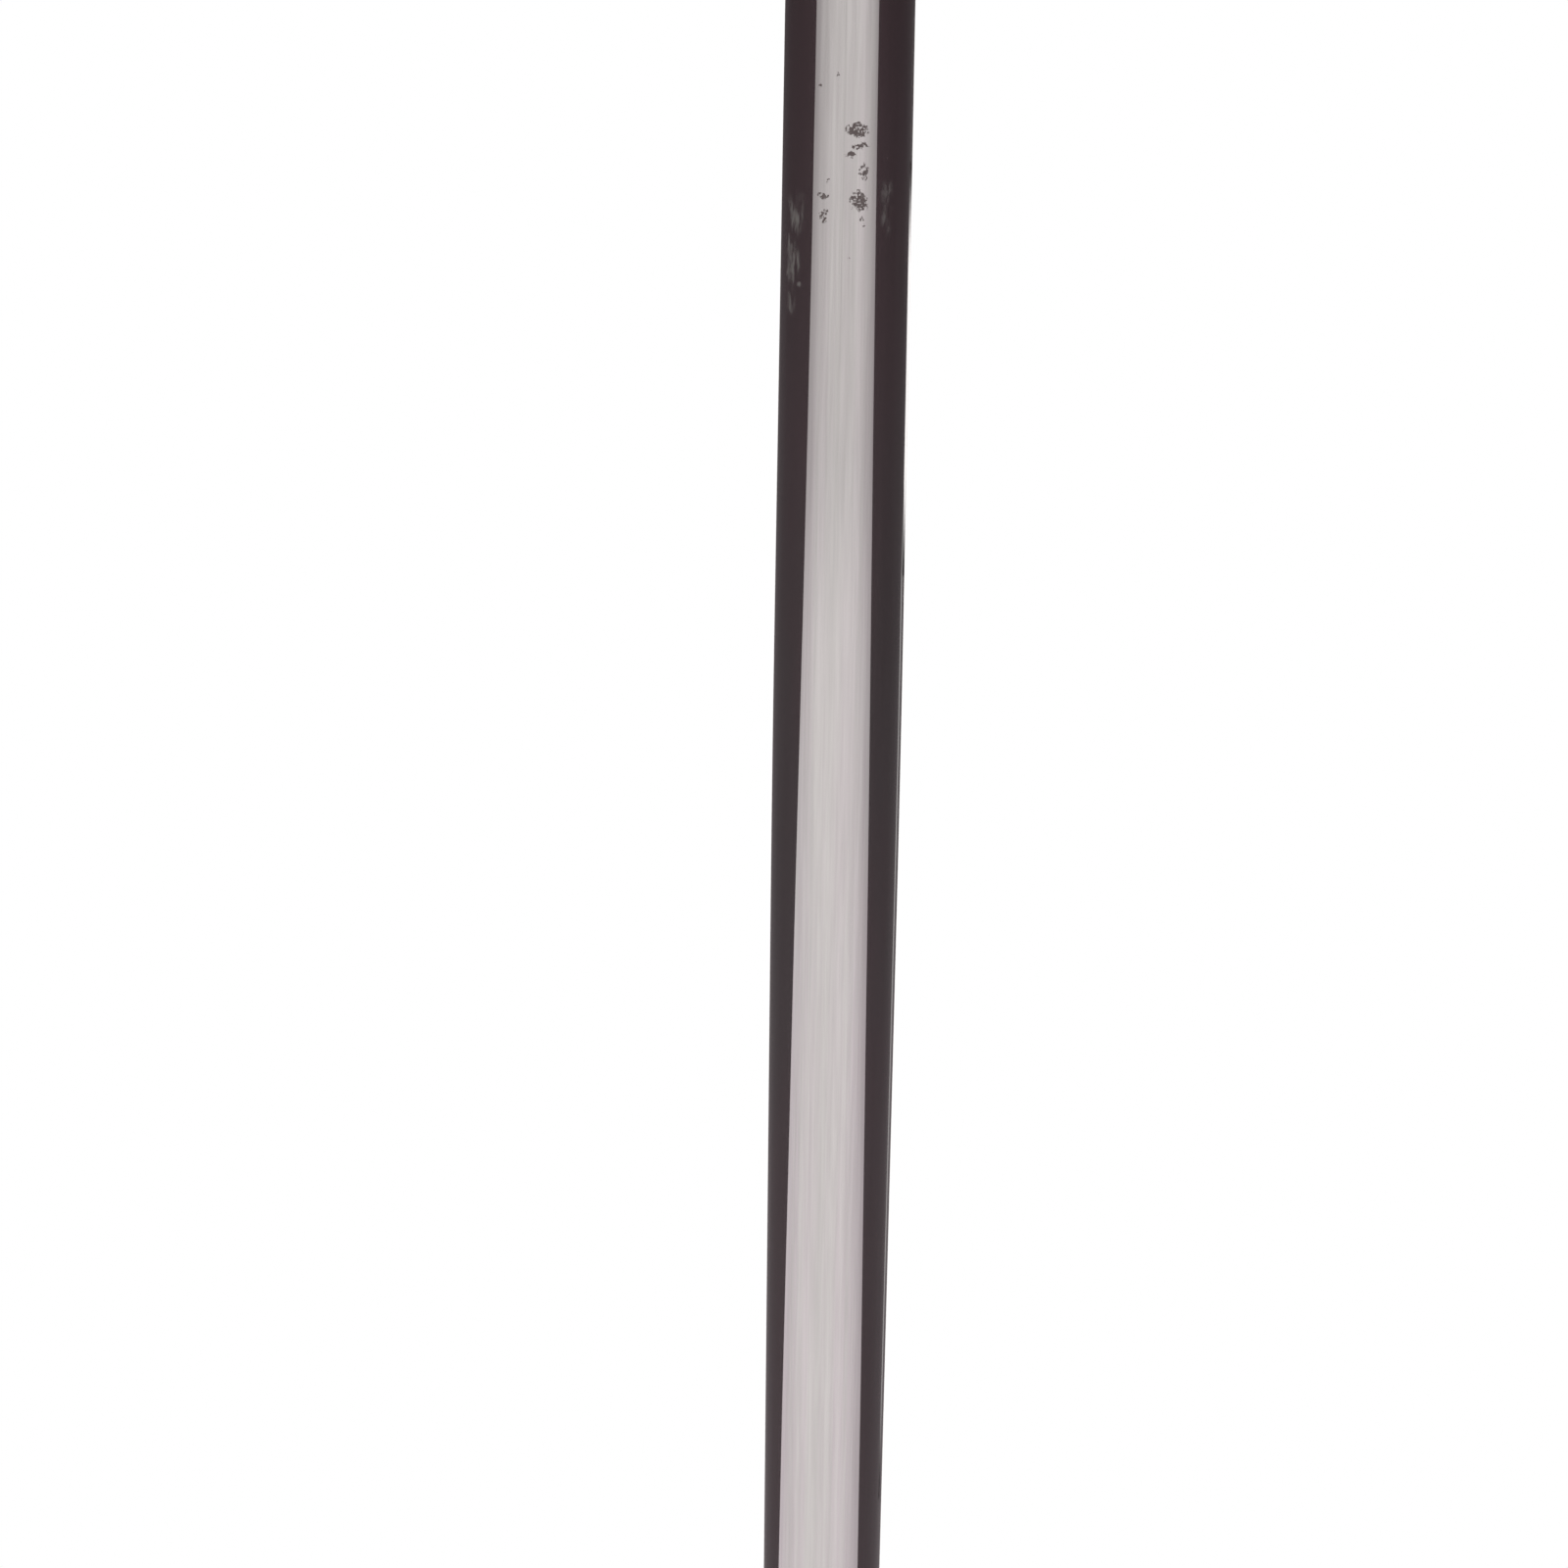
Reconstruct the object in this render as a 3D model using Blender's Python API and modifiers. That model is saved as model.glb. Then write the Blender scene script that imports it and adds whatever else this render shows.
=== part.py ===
"""A support cane: a lacquered hardwood shaft, a screw-on derby handle and a rubber tip.

Metres, +Z up. The shaft stands on the Z axis, and the origin is the centre of the rubber tip's
ground face. +X is the long, palm end of the handle, and -X is its hooked nose.

From the ground up: the rubber tip with its steel washer, the metal ferrule that closes the
shaft's lower end, the shaft, the collar on its upper end, the fibre washer, and the handle,
which turns on a steel stud. The stud stands in a brass bush in the shaft and goes into a
brass insert in the handle. Small round-headed pins hold the ferrule and the collar.
"""

import math

import bmesh
import bpy
from mathutils import Vector

# ---------------------------------------------------------------- driving dimensions
OVERALL_HEIGHT = 0.914
GAP = 0.0003  # between two pieces that touch, or that one passes through the other

SHAFT_TOP_DIAMETER = 0.0228
SHAFT_MIDDLE_DIAMETER = 0.0219
SHAFT_BOTTOM_DIAMETER = 0.0155
MIDDLE_HEIGHT = 0.460  # where the nearly straight upper half meets the tapering lower half
TAPER_BLEND = 0.052  # the length of shaft over which one taper turns into the other

HANDLE_HEIGHT = 0.0460
GRIP_LENGTH = 0.128
GRIP_REACH = 0.0820  # from the shaft's axis to the palm end
GRIP_WIDTH = 0.0310
GRIP_THICKNESS = 0.0250
NECK_STEP = 0.0004  # how far the handle's washer and the collar stand out from the neck

WASHER_THICKNESS = 0.0015
COLLAR_LENGTH = 0.0240
COLLAR_WALL = 0.0009
COLLAR_SEAT_DEPTH = 0.0004  # how far the shaft is turned down under the collar
BEAD_RADIUS = 0.0009

STUD_DIAMETER = 0.0080
STUD_DEPTH = 0.0260  # below the shaft's top face
THREAD_PITCH = 0.00125
THREAD_TURNS = 12  # turns of the handle from seated to free
SOCKET_WIDTH = 0.0040  # across the flats of the stud's hexagon socket
SOCKET_DEPTH = 0.0035
INSERT_LENGTH = 0.0180
INSERT_WALL = 0.0017
BUSH_LENGTH = 0.0200
RECESS = 0.0005  # the insert and the bush lie this far below their faces

FERRULE_TOP = 0.0680
FERRULE_WALL = 0.0008
FERRULE_STEP = 0.0004  # how far the ferrule stands out from the shaft above it
FERRULE_TAPER = 0.0004  # how much smaller its radius is at the lower end
END_BUTTON_THICKNESS = 0.0030
END_BUTTON_SHANK_DIAMETER = 0.0032
END_BUTTON_SHANK_LENGTH = 0.0140

PIN_SHANK_DIAMETER = 0.0012
PIN_LENGTH = 0.0045
PIN_HEAD_DIAMETER = 0.0026
PIN_HEAD_HEIGHT = 0.0008

TIP_HEIGHT = 0.0460
TIP_FLOOR = 0.0100  # rubber under the washer
TIP_BASE_DIAMETER = 0.0340
TIP_BASE_HEIGHT = 0.0065
TIP_FLARE_HEIGHT = 0.0110  # from the base up to where the neck is straight
TIP_WALL = 0.0029
TIP_RIB_COUNT = 4
TIP_RIB_DEPTH = 0.0010
TREAD_DEPTH = 0.0016
TREAD_GROOVE = 0.0014
TREAD_RINGS = 3
TIP_WASHER_THICKNESS = 0.0016
TIP_WASHER_HOLE_DIAMETER = 0.0064

ROUND_SIDES = 40
SHAFT_SIDES = 48
SMALL_SIDES = 16
PIN_HOLE_SIDES = 12

# ---------------------------------------------------------------- levels along the axis
HANDLE_BOTTOM = OVERALL_HEIGHT - HANDLE_HEIGHT
WASHER_TOP = HANDLE_BOTTOM - GAP
SHAFT_TOP = WASHER_TOP - WASHER_THICKNESS - GAP
COLLAR_BOTTOM = SHAFT_TOP - COLLAR_LENGTH
SHOULDER = COLLAR_BOTTOM - GAP
COLLAR_PIN_HEIGHT = SHAFT_TOP - COLLAR_LENGTH / 2

STUD_TOP = HANDLE_BOTTOM + THREAD_TURNS * THREAD_PITCH - GAP
STUD_BOTTOM = SHAFT_TOP - STUD_DEPTH
INSERT_BOTTOM = HANDLE_BOTTOM + RECESS
INSERT_TOP = INSERT_BOTTOM + INSERT_LENGTH
BUSH_TOP = SHAFT_TOP - RECESS
BUSH_BOTTOM = BUSH_TOP - BUSH_LENGTH

TIP_WASHER_BOTTOM = TIP_FLOOR + GAP
TIP_WASHER_TOP = TIP_WASHER_BOTTOM + TIP_WASHER_THICKNESS
FERRULE_BOTTOM = TIP_WASHER_TOP + GAP
END_BUTTON_TOP = FERRULE_BOTTOM + END_BUTTON_THICKNESS
SHAFT_BOTTOM = END_BUTTON_TOP + GAP
FERRULE_PIN_HEIGHT = (FERRULE_TOP + TIP_HEIGHT) / 2

# ---------------------------------------------------------------- radii that fit each other
COLLAR_SEAT_RADIUS = SHAFT_TOP_DIAMETER / 2 - COLLAR_SEAT_DEPTH
COLLAR_INNER_RADIUS = COLLAR_SEAT_RADIUS + GAP
COLLAR_OUTER_RADIUS = COLLAR_INNER_RADIUS + COLLAR_WALL
NECK_RADIUS = COLLAR_OUTER_RADIUS - NECK_STEP
STUD_RADIUS = STUD_DIAMETER / 2
THREADED_BORE_RADIUS = STUD_RADIUS + GAP
INSERT_RADIUS = THREADED_BORE_RADIUS + INSERT_WALL
INSERT_SEAT_RADIUS = INSERT_RADIUS + GAP
FERRULE_TOP_RADIUS = SHAFT_BOTTOM_DIAMETER / 2 + FERRULE_STEP
FERRULE_BOTTOM_RADIUS = FERRULE_TOP_RADIUS - FERRULE_TAPER
END_BUTTON_RADIUS = FERRULE_BOTTOM_RADIUS - FERRULE_WALL - GAP
TIP_BORE_RADIUS = FERRULE_TOP_RADIUS + GAP
TIP_NECK_RADIUS = TIP_BORE_RADIUS + TIP_WALL
PIN_HOLE_RADIUS = PIN_SHANK_DIAMETER / 2 + GAP

CUTTER_REACH = 0.020  # how far a cutter runs past the faces that it cuts


# ---------------------------------------------------------------- the scene and the helpers
def clear_scene():
    for obj in list(bpy.data.objects):
        bpy.data.objects.remove(obj, do_unlink=True)


def new_collection(name):
    collection = bpy.data.collections.new(name)
    bpy.context.scene.collection.children.link(collection)
    return collection


def make_material(name, colour, roughness, metallic=0.0):
    material = bpy.data.materials.new(name)
    material.use_nodes = True
    shader = material.node_tree.nodes["Principled BSDF"]
    shader.inputs["Base Color"].default_value = (*colour, 1.0)
    shader.inputs["Roughness"].default_value = roughness
    shader.inputs["Metallic"].default_value = metallic
    return material


def add_mesh(name, bm, material=None, collection=None):
    """A new object from bm, which is used up. Without a collection it is a cutter."""
    mesh = bpy.data.meshes.new(name)
    bm.to_mesh(mesh)
    bm.free()
    obj = bpy.data.objects.new(name, mesh)
    if collection is None:
        cutters.objects.link(obj)
        obj.hide_render = True
        obj.display_type = "WIRE"
    else:
        collection.objects.link(obj)
        mesh.materials.append(material)
    return obj


def turned(name, profile, material=None, closed=False, sides=ROUND_SIDES):
    """A body turned about Z. The profile is (radius, height) points, down the outer side.

    An open profile starts and ends on the axis. A closed one is the section of a ring.
    """
    bm = bmesh.new()
    verts = [bm.verts.new((radius, 0.0, height)) for radius, height in profile]
    pairs = list(zip(verts, verts[1:]))
    if closed:
        pairs.append((verts[-1], verts[0]))
    for start, end in pairs:
        bm.edges.new((start, end))
    obj = add_mesh(name, bm, material, cane if material else None)
    screw = obj.modifiers.new("Turn", "SCREW")
    screw.axis = "Z"
    screw.angle = math.tau
    screw.steps = sides
    screw.render_steps = sides
    screw.use_merge_vertices = True
    screw.merge_threshold = 0.00001
    screw.use_smooth_shade = True
    return obj


def cylinder(name, radius, length, sides=SMALL_SIDES):
    """A cutter along Z, centred on its own origin."""
    bm = bmesh.new()
    bmesh.ops.create_cone(
        bm, cap_ends=True, segments=sides, radius1=radius, radius2=radius, depth=length
    )
    return add_mesh(name, bm)


def cut(obj, cutter):
    boolean = obj.modifiers.new("Cut " + cutter.name, "BOOLEAN")
    boolean.operation = "DIFFERENCE"
    boolean.solver = "EXACT"
    boolean.object = cutter


def arc(centre_radius, centre_height, radius, start, end, count):
    """Profile points on a circle, from start to end in degrees, 0 pointing outwards."""
    points = []
    for i in range(count + 1):
        angle = math.radians(start + (end - start) * i / count)
        points.append(
            (
                centre_radius + radius * math.cos(angle),
                centre_height + radius * math.sin(angle),
            )
        )
    return points


# ---------------------------------------------------------------- the shaft
def shaft_radius(height):
    """The shaft's outer radius: two straight tapers that a parabola joins."""
    upper = (SHAFT_TOP_DIAMETER - SHAFT_MIDDLE_DIAMETER) / 2 / (SHAFT_TOP - MIDDLE_HEIGHT)
    lower = (SHAFT_MIDDLE_DIAMETER - SHAFT_BOTTOM_DIAMETER) / 2 / (MIDDLE_HEIGHT - FERRULE_TOP)
    above = height - MIDDLE_HEIGHT
    half = TAPER_BLEND / 2
    radius = SHAFT_MIDDLE_DIAMETER / 2 + above * (upper if above > 0 else lower)
    if abs(above) < half:
        radius -= (lower - upper) * (half - abs(above)) ** 2 / (4 * half)
    return radius


def make_shaft():
    """The turned wood, with the bore for the bush and stud, and the hole for the button's shank."""
    stud_hole_bottom = STUD_BOTTOM - GAP
    bush_seat_bottom = BUSH_BOTTOM - GAP
    blend_steps = 6
    blend_top = MIDDLE_HEIGHT + TAPER_BLEND / 2
    blend = [blend_top - TAPER_BLEND * i / blend_steps for i in range(blend_steps + 1)]
    profile = [
        (0.0, stud_hole_bottom),
        (THREADED_BORE_RADIUS, stud_hole_bottom),
        (THREADED_BORE_RADIUS, bush_seat_bottom),
        (INSERT_SEAT_RADIUS, bush_seat_bottom),
        (INSERT_SEAT_RADIUS, SHAFT_TOP),
        (COLLAR_SEAT_RADIUS, SHAFT_TOP),
        (COLLAR_SEAT_RADIUS, SHOULDER),
        (shaft_radius(SHOULDER), SHOULDER),
    ]
    profile += [(shaft_radius(height), height) for height in blend]
    spigot_top = FERRULE_TOP + GAP
    shank_hole_radius = END_BUTTON_SHANK_DIAMETER / 2 + GAP
    shank_hole_top = END_BUTTON_TOP + END_BUTTON_SHANK_LENGTH + GAP
    profile += [
        (SHAFT_BOTTOM_DIAMETER / 2, spigot_top),
        (FERRULE_TOP_RADIUS - FERRULE_WALL - GAP, spigot_top),
        (END_BUTTON_RADIUS, SHAFT_BOTTOM),
        (shank_hole_radius, SHAFT_BOTTOM),
        (shank_hole_radius, shank_hole_top),
        (0.0, shank_hole_top),
    ]
    return turned("shaft", profile, lacquer, sides=SHAFT_SIDES)


# ---------------------------------------------------------------- collar, ferrule and pins
def make_collar():
    """A thin sleeve with a rolled bead at each end."""
    low = COLLAR_BOTTOM + BEAD_RADIUS
    high = SHAFT_TOP - BEAD_RADIUS
    profile = [(COLLAR_INNER_RADIUS, SHAFT_TOP)]
    profile += arc(COLLAR_OUTER_RADIUS, high, BEAD_RADIUS, 90, -90, 4)
    profile += arc(COLLAR_OUTER_RADIUS, low, BEAD_RADIUS, 90, -90, 4)
    profile += [(COLLAR_INNER_RADIUS, COLLAR_BOTTOM)]
    return turned("collar", profile, nickel, closed=True)


def make_ferrule():
    """The tapered metal sleeve on the shaft's lower end, with a rolled upper edge."""
    edge = FERRULE_WALL / 2
    profile = arc(FERRULE_TOP_RADIUS - edge, FERRULE_TOP - edge, edge, 180, 0, 4)
    profile += [
        (FERRULE_BOTTOM_RADIUS, FERRULE_BOTTOM),
        (FERRULE_BOTTOM_RADIUS - FERRULE_WALL, FERRULE_BOTTOM),
    ]
    return turned("ferrule", profile, nickel, closed=True)


def make_end_button():
    """The hardened button that closes the ferrule, with a shank driven into the wood."""
    shank = END_BUTTON_SHANK_DIAMETER / 2
    shank_top = END_BUTTON_TOP + END_BUTTON_SHANK_LENGTH
    point = 2 * shank
    profile = [
        (0.0, shank_top),
        (shank, shank_top - point),
        (shank, END_BUTTON_TOP),
        (END_BUTTON_RADIUS, END_BUTTON_TOP),
        (END_BUTTON_RADIUS, FERRULE_BOTTOM),
        (0.0, FERRULE_BOTTOM),
    ]
    return turned("ferrule_end_button", profile, steel, sides=24)


def make_pin(name, side, height, wall_radius, holders):
    """One round-headed pin and its hole, on the side given (1 for +Y, -1 for -Y).

    Its head's flat underside is just clear of a wall at wall_radius, and its shank goes
    through the metal and into the wood.
    """
    seat = wall_radius + GAP
    shank = PIN_SHANK_DIAMETER / 2
    head = PIN_HEAD_DIAMETER / 2
    point = 2 * shank
    profile = [(0.0, seat + PIN_HEAD_HEIGHT)]
    for angle in (math.radians(60), math.radians(30), 0.0):
        profile.append((head * math.cos(angle), seat + PIN_HEAD_HEIGHT * math.sin(angle)))
    profile += [
        (shank, seat),
        (shank, seat - PIN_LENGTH + point),
        (0.0, seat - PIN_LENGTH),
    ]
    pin = turned(name, profile, nickel, sides=SMALL_SIDES)
    outwards = (math.radians(-90 * side), 0, 0)
    pin.rotation_euler = outwards
    pin.location.z = height

    hole_inner_end = seat - PIN_LENGTH - GAP
    hole_length = PIN_LENGTH + CUTTER_REACH
    hole = cylinder(name + "_hole", PIN_HOLE_RADIUS, hole_length, PIN_HOLE_SIDES)
    hole.rotation_euler = outwards
    hole.location = (0, side * (hole_inner_end + hole_length / 2), height)
    for holder in holders:
        cut(holder, hole)


def make_pin_pair(name, height, wall_radius, holders):
    make_pin(name + "_front", -1, height, wall_radius, holders)
    make_pin(name + "_back", 1, height, wall_radius, holders)


# ---------------------------------------------------------------- what joins handle and shaft
def make_stud():
    """The steel stud, plain where the thread is, with a hexagon socket in its upper end."""
    chamfer = THREAD_PITCH / 2
    profile = [
        (0.0, STUD_TOP),
        (STUD_RADIUS - chamfer, STUD_TOP),
        (STUD_RADIUS, STUD_TOP - chamfer),
        (STUD_RADIUS, STUD_BOTTOM + chamfer),
        (STUD_RADIUS - chamfer, STUD_BOTTOM),
        (0.0, STUD_BOTTOM),
    ]
    stud = turned("handle_stud", profile, steel, sides=32)
    corner_radius = SOCKET_WIDTH / 2 / math.cos(math.radians(30))
    socket = cylinder("stud_socket", corner_radius, 2 * SOCKET_DEPTH, sides=6)
    socket.location.z = STUD_TOP
    cut(stud, socket)
    return stud


def threaded_sleeve(name, bottom, top):
    """A brass sleeve that holds the stud: the shaft's bush or the handle's insert."""
    chamfer = INSERT_WALL / 3
    profile = [
        (INSERT_RADIUS - chamfer, top),
        (INSERT_RADIUS, top - chamfer),
        (INSERT_RADIUS, bottom + chamfer),
        (INSERT_RADIUS - chamfer, bottom),
        (THREADED_BORE_RADIUS, bottom),
        (THREADED_BORE_RADIUS, top),
    ]
    return turned(name, profile, brass, closed=True, sides=32)


def flat_washer(name, inner, outer, bottom, thickness, material):
    profile = [
        (outer, bottom + thickness),
        (outer, bottom),
        (inner, bottom),
        (inner, bottom + thickness),
    ]
    return turned(name, profile, material, closed=True)


# ---------------------------------------------------------------- the derby handle
# Each section of the grip, from the palm end to the nose: its place along the grip (1 at the
# palm end, 0 at the shaft's axis, -1 at the nose), how far its centre is below the grip's own
# centre line as a share of the thickness, its height and width as shares of the grip's, and
# its lean in degrees.
GRIP_SECTIONS = (
    (1.00, 0.06, 0.46, 0.44, 4),
    (0.96, 0.04, 0.82, 0.80, 4),
    (0.84, 0.00, 1.00, 0.98, 3),
    (0.66, 0.00, 1.03, 1.01, 2),
    (0.44, 0.02, 1.00, 0.95, 0),
    (0.24, 0.02, 1.04, 0.90, -2),
    (0.00, 0.00, 1.10, 0.88, 0),
    (-0.42, 0.02, 1.04, 0.86, 8),
    (-0.64, 0.11, 0.95, 0.83, 24),
    (-0.79, 0.28, 0.82, 0.77, 44),
    (-0.86, 0.52, 0.68, 0.67, 62),
    (-0.88, 0.74, 0.40, 0.44, 74),
)
NECK_SECTIONS = (5, 6, 7)  # the neck grows from the underside between these sections
CORNERS = 8  # corners of each section of the cage
UNDERSIDE = (5, 6, 7)  # the corners that face down
SMOOTHED = (2 + math.cos(math.tau / CORNERS)) / 3  # how much smoothing shrinks a ring
CREST = 0.5325  # from the grip's centre line up to its crest, as a share of the thickness


def grip_point(section, corner):
    along, drop, tall, wide, lean = section
    reach = GRIP_REACH if along > 0 else GRIP_LENGTH - GRIP_REACH
    angle = math.tau * corner / CORNERS
    across = GRIP_WIDTH / 2 * wide / SMOOTHED * math.cos(angle)
    up = GRIP_THICKNESS / 2 * tall / SMOOTHED * math.sin(angle)
    tilt = math.radians(lean)
    centre = OVERALL_HEIGHT - GRIP_THICKNESS * (CREST + drop)
    return Vector(
        (along * reach - up * math.sin(tilt), across, centre + up * math.cos(tilt))
    )


def place_ring(verts, corner_of, section_of, index):
    for vert in verts:
        vert.co = grip_point(GRIP_SECTIONS[index], vert[corner_of])
        vert[section_of] = index


def extrude(bm, faces):
    """Extrudes the faces and returns the new ones."""
    made = bmesh.ops.extrude_face_region(bm, geom=faces)["geom"]
    bmesh.ops.delete(bm, geom=[face for face in faces if face.is_valid], context="FACES")
    return [item for item in made if isinstance(item, bmesh.types.BMFace)]


def grip_cage():
    """The grip as a tube of rings, one ring at each section."""
    bm = bmesh.new()
    corner_of = bm.verts.layers.int.new("corner")
    section_of = bm.verts.layers.int.new("section")
    bmesh.ops.create_cone(
        bm, cap_ends=True, segments=CORNERS, radius1=1, radius2=1, depth=2
    )
    for vert in bm.verts:
        turn = math.atan2(vert.co.y, vert.co.x) / math.tau
        vert[corner_of] = round(turn * CORNERS) % CORNERS
    rings = [[v for v in bm.verts if v.co.z < 0], [v for v in bm.verts if v.co.z > 0]]
    caps = [f for f in bm.faces if all(v.co.z > 0 for v in f.verts)]
    for index, ring in enumerate(rings):
        place_ring(ring, corner_of, section_of, index)
    for index in range(2, len(GRIP_SECTIONS)):
        caps = extrude(bm, caps)
        place_ring(caps[0].verts, corner_of, section_of, index)
    return bm, corner_of, section_of


def grow_neck(bm, corner_of, section_of):
    """Draws the underside's middle faces down into a round neck, past its final length."""
    patch = [
        face
        for face in bm.faces
        if all(v[section_of] in NECK_SECTIONS and v[corner_of] in UNDERSIDE for v in face.verts)
    ]
    underside = OVERALL_HEIGHT - GRIP_THICKNESS * (CREST + 0.5)
    neck_length = underside - HANDLE_BOTTOM
    overrun = CUTTER_REACH / 2
    # How round each ring is (0 keeps the outline of the faces, 1 is the neck), and its height.
    rings = (
        (0.62, HANDLE_BOTTOM + 0.72 * neck_length),
        (1.00, HANDLE_BOTTOM + 0.34 * neck_length),
        (1.00, HANDLE_BOTTOM - overrun),
    )
    for roundness, height in rings:
        patch = extrude(bm, patch)
        for vert in {v for face in patch for v in face.verts}:
            outline = grip_point(GRIP_SECTIONS[vert[section_of]], vert[corner_of])
            direction = Vector(
                (
                    NECK_SECTIONS[1] - vert[section_of],
                    vert[corner_of] - UNDERSIDE[1],
                    0,
                )
            )
            if direction.length:
                direction.normalize()
            vert.co = outline.lerp(direction * NECK_RADIUS / SMOOTHED, roundness)
            vert.co.z = height
    return bm


def make_handle():
    bm, corner_of, section_of = grip_cage()
    grow_neck(bm, corner_of, section_of)
    bmesh.ops.recalc_face_normals(bm, faces=bm.faces)
    handle = add_mesh("handle", bm, resin, cane)
    smooth = handle.modifiers.new("Smooth", "SUBSURF")
    smooth.levels = 2
    smooth.render_levels = 2
    trim = cylinder("neck_trim", 2 * NECK_RADIUS, CUTTER_REACH, ROUND_SIDES)
    trim.location.z = HANDLE_BOTTOM - CUTTER_REACH / 2
    cut(handle, trim)
    bore_top = max(INSERT_TOP, STUD_TOP) + GAP
    bore_bottom = HANDLE_BOTTOM - CUTTER_REACH
    bore = cylinder("insert_bore", INSERT_SEAT_RADIUS, bore_top - bore_bottom, 32)
    bore.location.z = (bore_top + bore_bottom) / 2
    cut(handle, bore)
    handle.data.shade_smooth()
    return handle


# ---------------------------------------------------------------- the rubber tip
def tread_profile():
    """The ground face from the rim inwards: flat lands between round grooves, a flat centre."""
    outer_land = TIP_BASE_DIAMETER / 2 - TREAD_GROOVE
    pitch = outer_land / (TREAD_RINGS + 1)
    points = [(outer_land, 0.0)]
    for ring in range(TREAD_RINGS):
        groove_outer = outer_land - pitch * (ring + 1) + TREAD_GROOVE
        groove_inner = groove_outer - TREAD_GROOVE
        slope = TREAD_GROOVE / 6
        points += [
            (groove_outer, 0.0),
            (groove_outer - slope, TREAD_DEPTH),
            (groove_inner + slope, TREAD_DEPTH),
            (groove_inner, 0.0),
        ]
    return points + [(0.0, 0.0)]


def ribbed_side():
    """The neck's outer side from the rim down: one rounded rib after another."""
    lip = TIP_WALL / 2
    top = TIP_HEIGHT - lip
    bottom = TIP_BASE_HEIGHT + TIP_FLARE_HEIGHT
    rib = (top - bottom) / TIP_RIB_COUNT
    points = []
    for index in range(TIP_RIB_COUNT):
        start = top - rib * index
        points += [
            (TIP_NECK_RADIUS, start),
            (TIP_NECK_RADIUS, start - 0.62 * rib),
            (TIP_NECK_RADIUS - TIP_RIB_DEPTH, start - 0.72 * rib),
            (TIP_NECK_RADIUS - TIP_RIB_DEPTH, start - 0.90 * rib),
        ]
    return points


def make_rubber_tip():
    """The push-on tip: a ribbed neck on a flared base, and a tread of rings."""
    lip = TIP_WALL / 2
    base = TIP_BASE_DIAMETER / 2
    edge = TREAD_GROOVE
    foot = TIP_BASE_HEIGHT + TIP_FLARE_HEIGHT
    profile = [(0.0, TIP_FLOOR), (TIP_BORE_RADIUS, TIP_FLOOR)]
    profile += arc(TIP_BORE_RADIUS + lip, TIP_HEIGHT - lip, lip, 180, 30, 5)
    profile += ribbed_side()
    for i in range(5):
        share = i / 5
        sweep = math.sin(math.radians(90 * share)) ** 2
        radius = TIP_NECK_RADIUS + (base - edge - TIP_NECK_RADIUS) * sweep
        profile.append((radius, foot + (TIP_BASE_HEIGHT - foot) * share))
    profile += [(base - edge / 2, TIP_BASE_HEIGHT), (base, TIP_BASE_HEIGHT - edge)]
    profile += [(base, edge)]
    profile += tread_profile()
    return turned("rubber_tip", profile, rubber)


# ---------------------------------------------------------------- the cane
clear_scene()
cane = new_collection("support_cane")
cutters = new_collection("cutters")

lacquer = make_material("black_lacquer", (0.012, 0.009, 0.010), 0.06)
resin = make_material("ivory_white_resin", (0.78, 0.74, 0.66), 0.22)
nickel = make_material("nickel_plate", (0.66, 0.64, 0.60), 0.16, 1.0)
brass = make_material("brass", (0.72, 0.53, 0.25), 0.30, 1.0)
steel = make_material("zinc_steel", (0.52, 0.52, 0.53), 0.34, 1.0)
fibre = make_material("red_brown_fibre", (0.16, 0.06, 0.04), 0.70)
rubber = make_material("black_rubber", (0.020, 0.020, 0.021), 0.62)

shaft = make_shaft()
collar = make_collar()
ferrule = make_ferrule()
make_end_button()
make_pin_pair("collar_pin", COLLAR_PIN_HEIGHT, COLLAR_OUTER_RADIUS, (shaft, collar))
make_pin_pair("ferrule_pin", FERRULE_PIN_HEIGHT, FERRULE_TOP_RADIUS, (shaft, ferrule))
threaded_sleeve("shaft_bush", BUSH_BOTTOM, BUSH_TOP)
make_stud()
threaded_sleeve("handle_insert", INSERT_BOTTOM, INSERT_TOP)
flat_washer(
    "handle_washer",
    THREADED_BORE_RADIUS,
    COLLAR_OUTER_RADIUS,
    SHAFT_TOP + GAP,
    WASHER_THICKNESS,
    fibre,
)
make_handle()
flat_washer(
    "tip_washer",
    TIP_WASHER_HOLE_DIAMETER / 2,
    TIP_BORE_RADIUS - GAP,
    TIP_WASHER_BOTTOM,
    TIP_WASHER_THICKNESS,
    steel,
)
make_rubber_tip()
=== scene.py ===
# %% [markdown]
# # A support cane, piece by piece
#
# This lesson dresses a finished, jointed model of a walking cane. The model is loaded as a frame
# of plain solids, and each plain solid is replaced by a finer piece in the same place, which
# moves with the same body. The long pieces of a cane are turned on a lathe, so most of the
# lesson is one lathe built with Geometry Nodes, and a few rules that cut threads, knurls and
# milling into what the lathe makes. The handle is the one piece that no lathe can make.

# %% Load the frame
import math

import bmesh
import bpy
from mathutils import Matrix, Vector


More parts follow.
